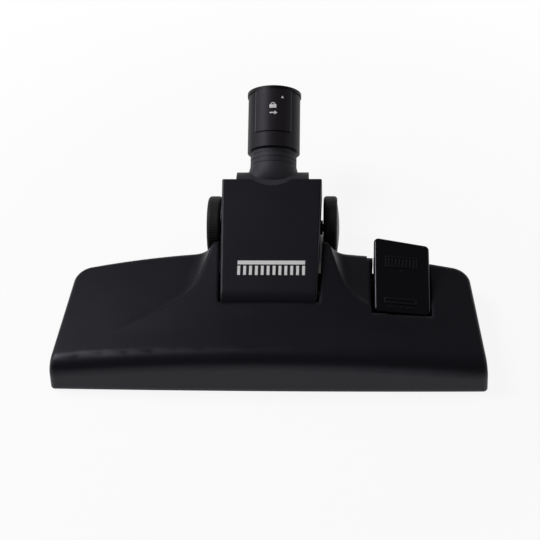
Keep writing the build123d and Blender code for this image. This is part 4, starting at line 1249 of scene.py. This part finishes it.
@dataclass
class Studio:
    """White floor, soft lamps, white surround and the camera."""

    floor_half: float = 6.0
    floor_colour: RGB = (0.86, 0.86, 0.86)
    floor_rough: float = 0.9
    floor_specular: float = 0.1
    floor_mist: float = 3.0
    floor_mottle: float = 0.01
    floor_glow: float = 0.9
    white_from: float = 0.17
    white_at: float = 0.5
    shaded: tuple[Box, ...] = (
        (-138.0 * MM, 138.0 * MM, -46.0 * MM, 48.0 * MM),
        (-46.0 * MM, 46.0 * MM, 40.0 * MM, 102.0 * MM),
    )
    shade_soft: float = 8.0 * MM
    surround: float = 0.12
    horizon: float = 0.2
    horizon_top: float = 0.35
    camera_at: Triple = (51.081 * MM, -597.105 * MM, 739.658 * MM)
    camera_aim: Triple = (-0.619 * MM, 38.677 * MM, 25.0 * MM)
    camera_roll: float = math.radians(-3.348)
    lens: float = 89.961
    sensor: float = 36.0
    lamps: tuple[Lamp, ...] = (
        Lamp("key_lamp", (-0.85, 0.32, 1.15), (0.0, 0.0, 0.02), size=0.5, watts=11.5),
        Lamp("left_lamp", (-1.2, 0.1, 0.5), (0.0, 0.03, 0.03), size=0.8, watts=3.4),
        Lamp("right_lamp", (1.2, 0.3, 0.5), (0.0, 0.05, 0.04), size=0.6, watts=1.3),
        Lamp("rear_lamp", (0.0, 1.5, 0.35), (0.0, 0.08, 0.04), size=0.7, watts=1.4),
    )

    def build(self) -> None:
        """Set up the whole studio."""
        self.add_floor()
        self.add_world()
        for lamp in self.lamps:
            lamp.hang()
        self.add_camera()
        bpy.context.scene.view_settings.view_transform = "Standard"

    def add_floor(self) -> None:
        """Lay the floor."""
        shape = bmesh.new()
        bmesh.ops.create_grid(shape, x_segments=1, y_segments=1, size=self.floor_half)
        mesh = bpy.data.meshes.new("studio_floor")
        shape.to_mesh(mesh)
        shape.free()
        mesh.materials.append(self.floor_material())
        floor = bpy.data.objects.new("studio_floor", mesh)
        bpy.context.scene.collection.objects.link(floor)

    def floor_material(self) -> bpy.types.Material:
        """Make the floor near white to the camera, truly lit under the head, and clear from below.

        Returns:
            The finished material.
        """
        graph = Graph(bpy.data.materials.new("floor_white"))
        mist = graph.noise(graph.place(), self.floor_mist)
        dark, light = (shade(self.floor_colour, 1 + side * self.floor_mottle) for side in SIDES)
        material = graph.surface(
            {
                "Base Color": graph.mix(mist, dark, light),
                "Roughness": self.floor_rough,
                "Specular IOR Level": self.floor_specular,
            }
        )
        camera = graph.node("ShaderNodeLightPath", out="Is Camera Ray")
        seen = graph.math("MAXIMUM", camera, camera.also("Is Glossy Ray"))
        seen = graph.math("MAXIMUM", seen, camera.also("Is Transmission Ray"))
        away = graph.node("ShaderNodeVectorMath", {"operation": "LENGTH"}, {0: graph.coords()}, "Value")
        share = self.floor_glow + graph.ease(away, self.white_from, self.white_at) * (1 - self.floor_glow)
        for box in self.shaded:
            share = share * (1 - self.shade_box(graph, box))
        lit = Sock(graph, graph.shader.outputs["BSDF"])
        glow = graph.node("ShaderNodeEmission", None, {"Color": WHITE, "Strength": 1.0})
        both = graph.node("ShaderNodeMixShader", None, {0: seen * share, 1: lit, 2: glow})
        below = graph.node("ShaderNodeNewGeometry", out="Backfacing")
        clear = graph.node("ShaderNodeBsdfTransparent")
        sided = graph.node("ShaderNodeMixShader", None, {0: below, 1: both, 2: clear})
        output = next(n for n in graph.tree.nodes if n.type == "OUTPUT_MATERIAL")
        graph.plug(output.inputs["Surface"], sided)
        return material

    def shade_box(self, graph: Graph, box: Box) -> Sock:
        """Mask of the floor close under the head, where only true light counts.

        Args:
            graph: The floor's graph.
            box: Low and high X, low and high Y.

        Returns:
            A mask that is 1 inside the box, with soft sides.
        """
        along = graph.node("ShaderNodeSeparateXYZ", None, {0: graph.coords()}, "X")
        gap_x = graph.math("ABSOLUTE", along - (box[0] + box[1]) / 2) - (box[1] - box[0]) / 2
        gap_y = graph.math("ABSOLUTE", along.also("Y") - (box[2] + box[3]) / 2) - (box[3] - box[2]) / 2
        return 1 - graph.ease(graph.math("MAXIMUM", gap_x, gap_y), -self.shade_soft, 0.0)

    def add_world(self) -> None:
        """Make the surround: white to the camera, dim as a light, brighter low down in reflections."""
        world = bpy.data.worlds.new("studio_surround")
        bpy.context.scene.world = world
        graph = Graph(world, "BACKGROUND")
        camera = graph.node("ShaderNodeLightPath", out="Is Camera Ray")
        mirrored = graph.math("MAXIMUM", camera.also("Is Glossy Ray"), camera.also("Is Transmission Ray"))
        way = graph.node("ShaderNodeTexCoord", out="Generated")
        height = graph.node("ShaderNodeSeparateXYZ", None, {0: way}, "Z")
        low = 1 - graph.ease(height, 0.0, self.horizon_top)
        level = self.surround + mirrored * low * (self.horizon - self.surround)
        graph.surface({"Color": WHITE, "Strength": graph.math("MAXIMUM", camera, level)})

    def add_camera(self) -> None:
        """Place the camera at the photograph's view."""
        data = bpy.data.cameras.new("view_camera")
        data.sensor_fit = "HORIZONTAL"
        data.sensor_width = self.sensor
        data.lens = self.lens
        camera = bpy.data.objects.new("view_camera", data)
        way = Vector(self.camera_aim) - Vector(self.camera_at)
        turn = way.to_track_quat("-Z", "Y").to_matrix().to_4x4()
        roll = Matrix.Rotation(self.camera_roll, 4, "Z")
        camera.matrix_world = Matrix.Translation(self.camera_at) @ turn @ roll
        bpy.context.scene.collection.objects.link(camera)
        bpy.context.scene.camera = camera


def main() -> None:
    """Build and dress every sub-assembly in order."""
    logging.basicConfig(level=logging.INFO, format="%(name)s: %(message)s")
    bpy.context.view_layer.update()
    Studio().build()
    finishes = Finishes()
    front = BristleRow("front_tufts", "front_bristles", ((-RAIL_END, RAIL_END),), FRONT_ROW_Y)
    rear_spans = ((-RAIL_END, -RAIL_START), (RAIL_START, RAIL_END))
    rear = BristleRow("rear_tufts", "rear_bristles", rear_spans, REAR_ROW_Y)
    dress(("brush_carriage",), finishes.inner)
    for assembly in (HeadShell(), SolePlate(), front, rear, Pedal(), Link(), Wheels(), Neck(), LockCollar()):
        assembly.dress(finishes)
        assembly.build(finishes)
        LOG.info("finished %s", type(assembly).__name__)


if __name__ == "__main__":
    main()
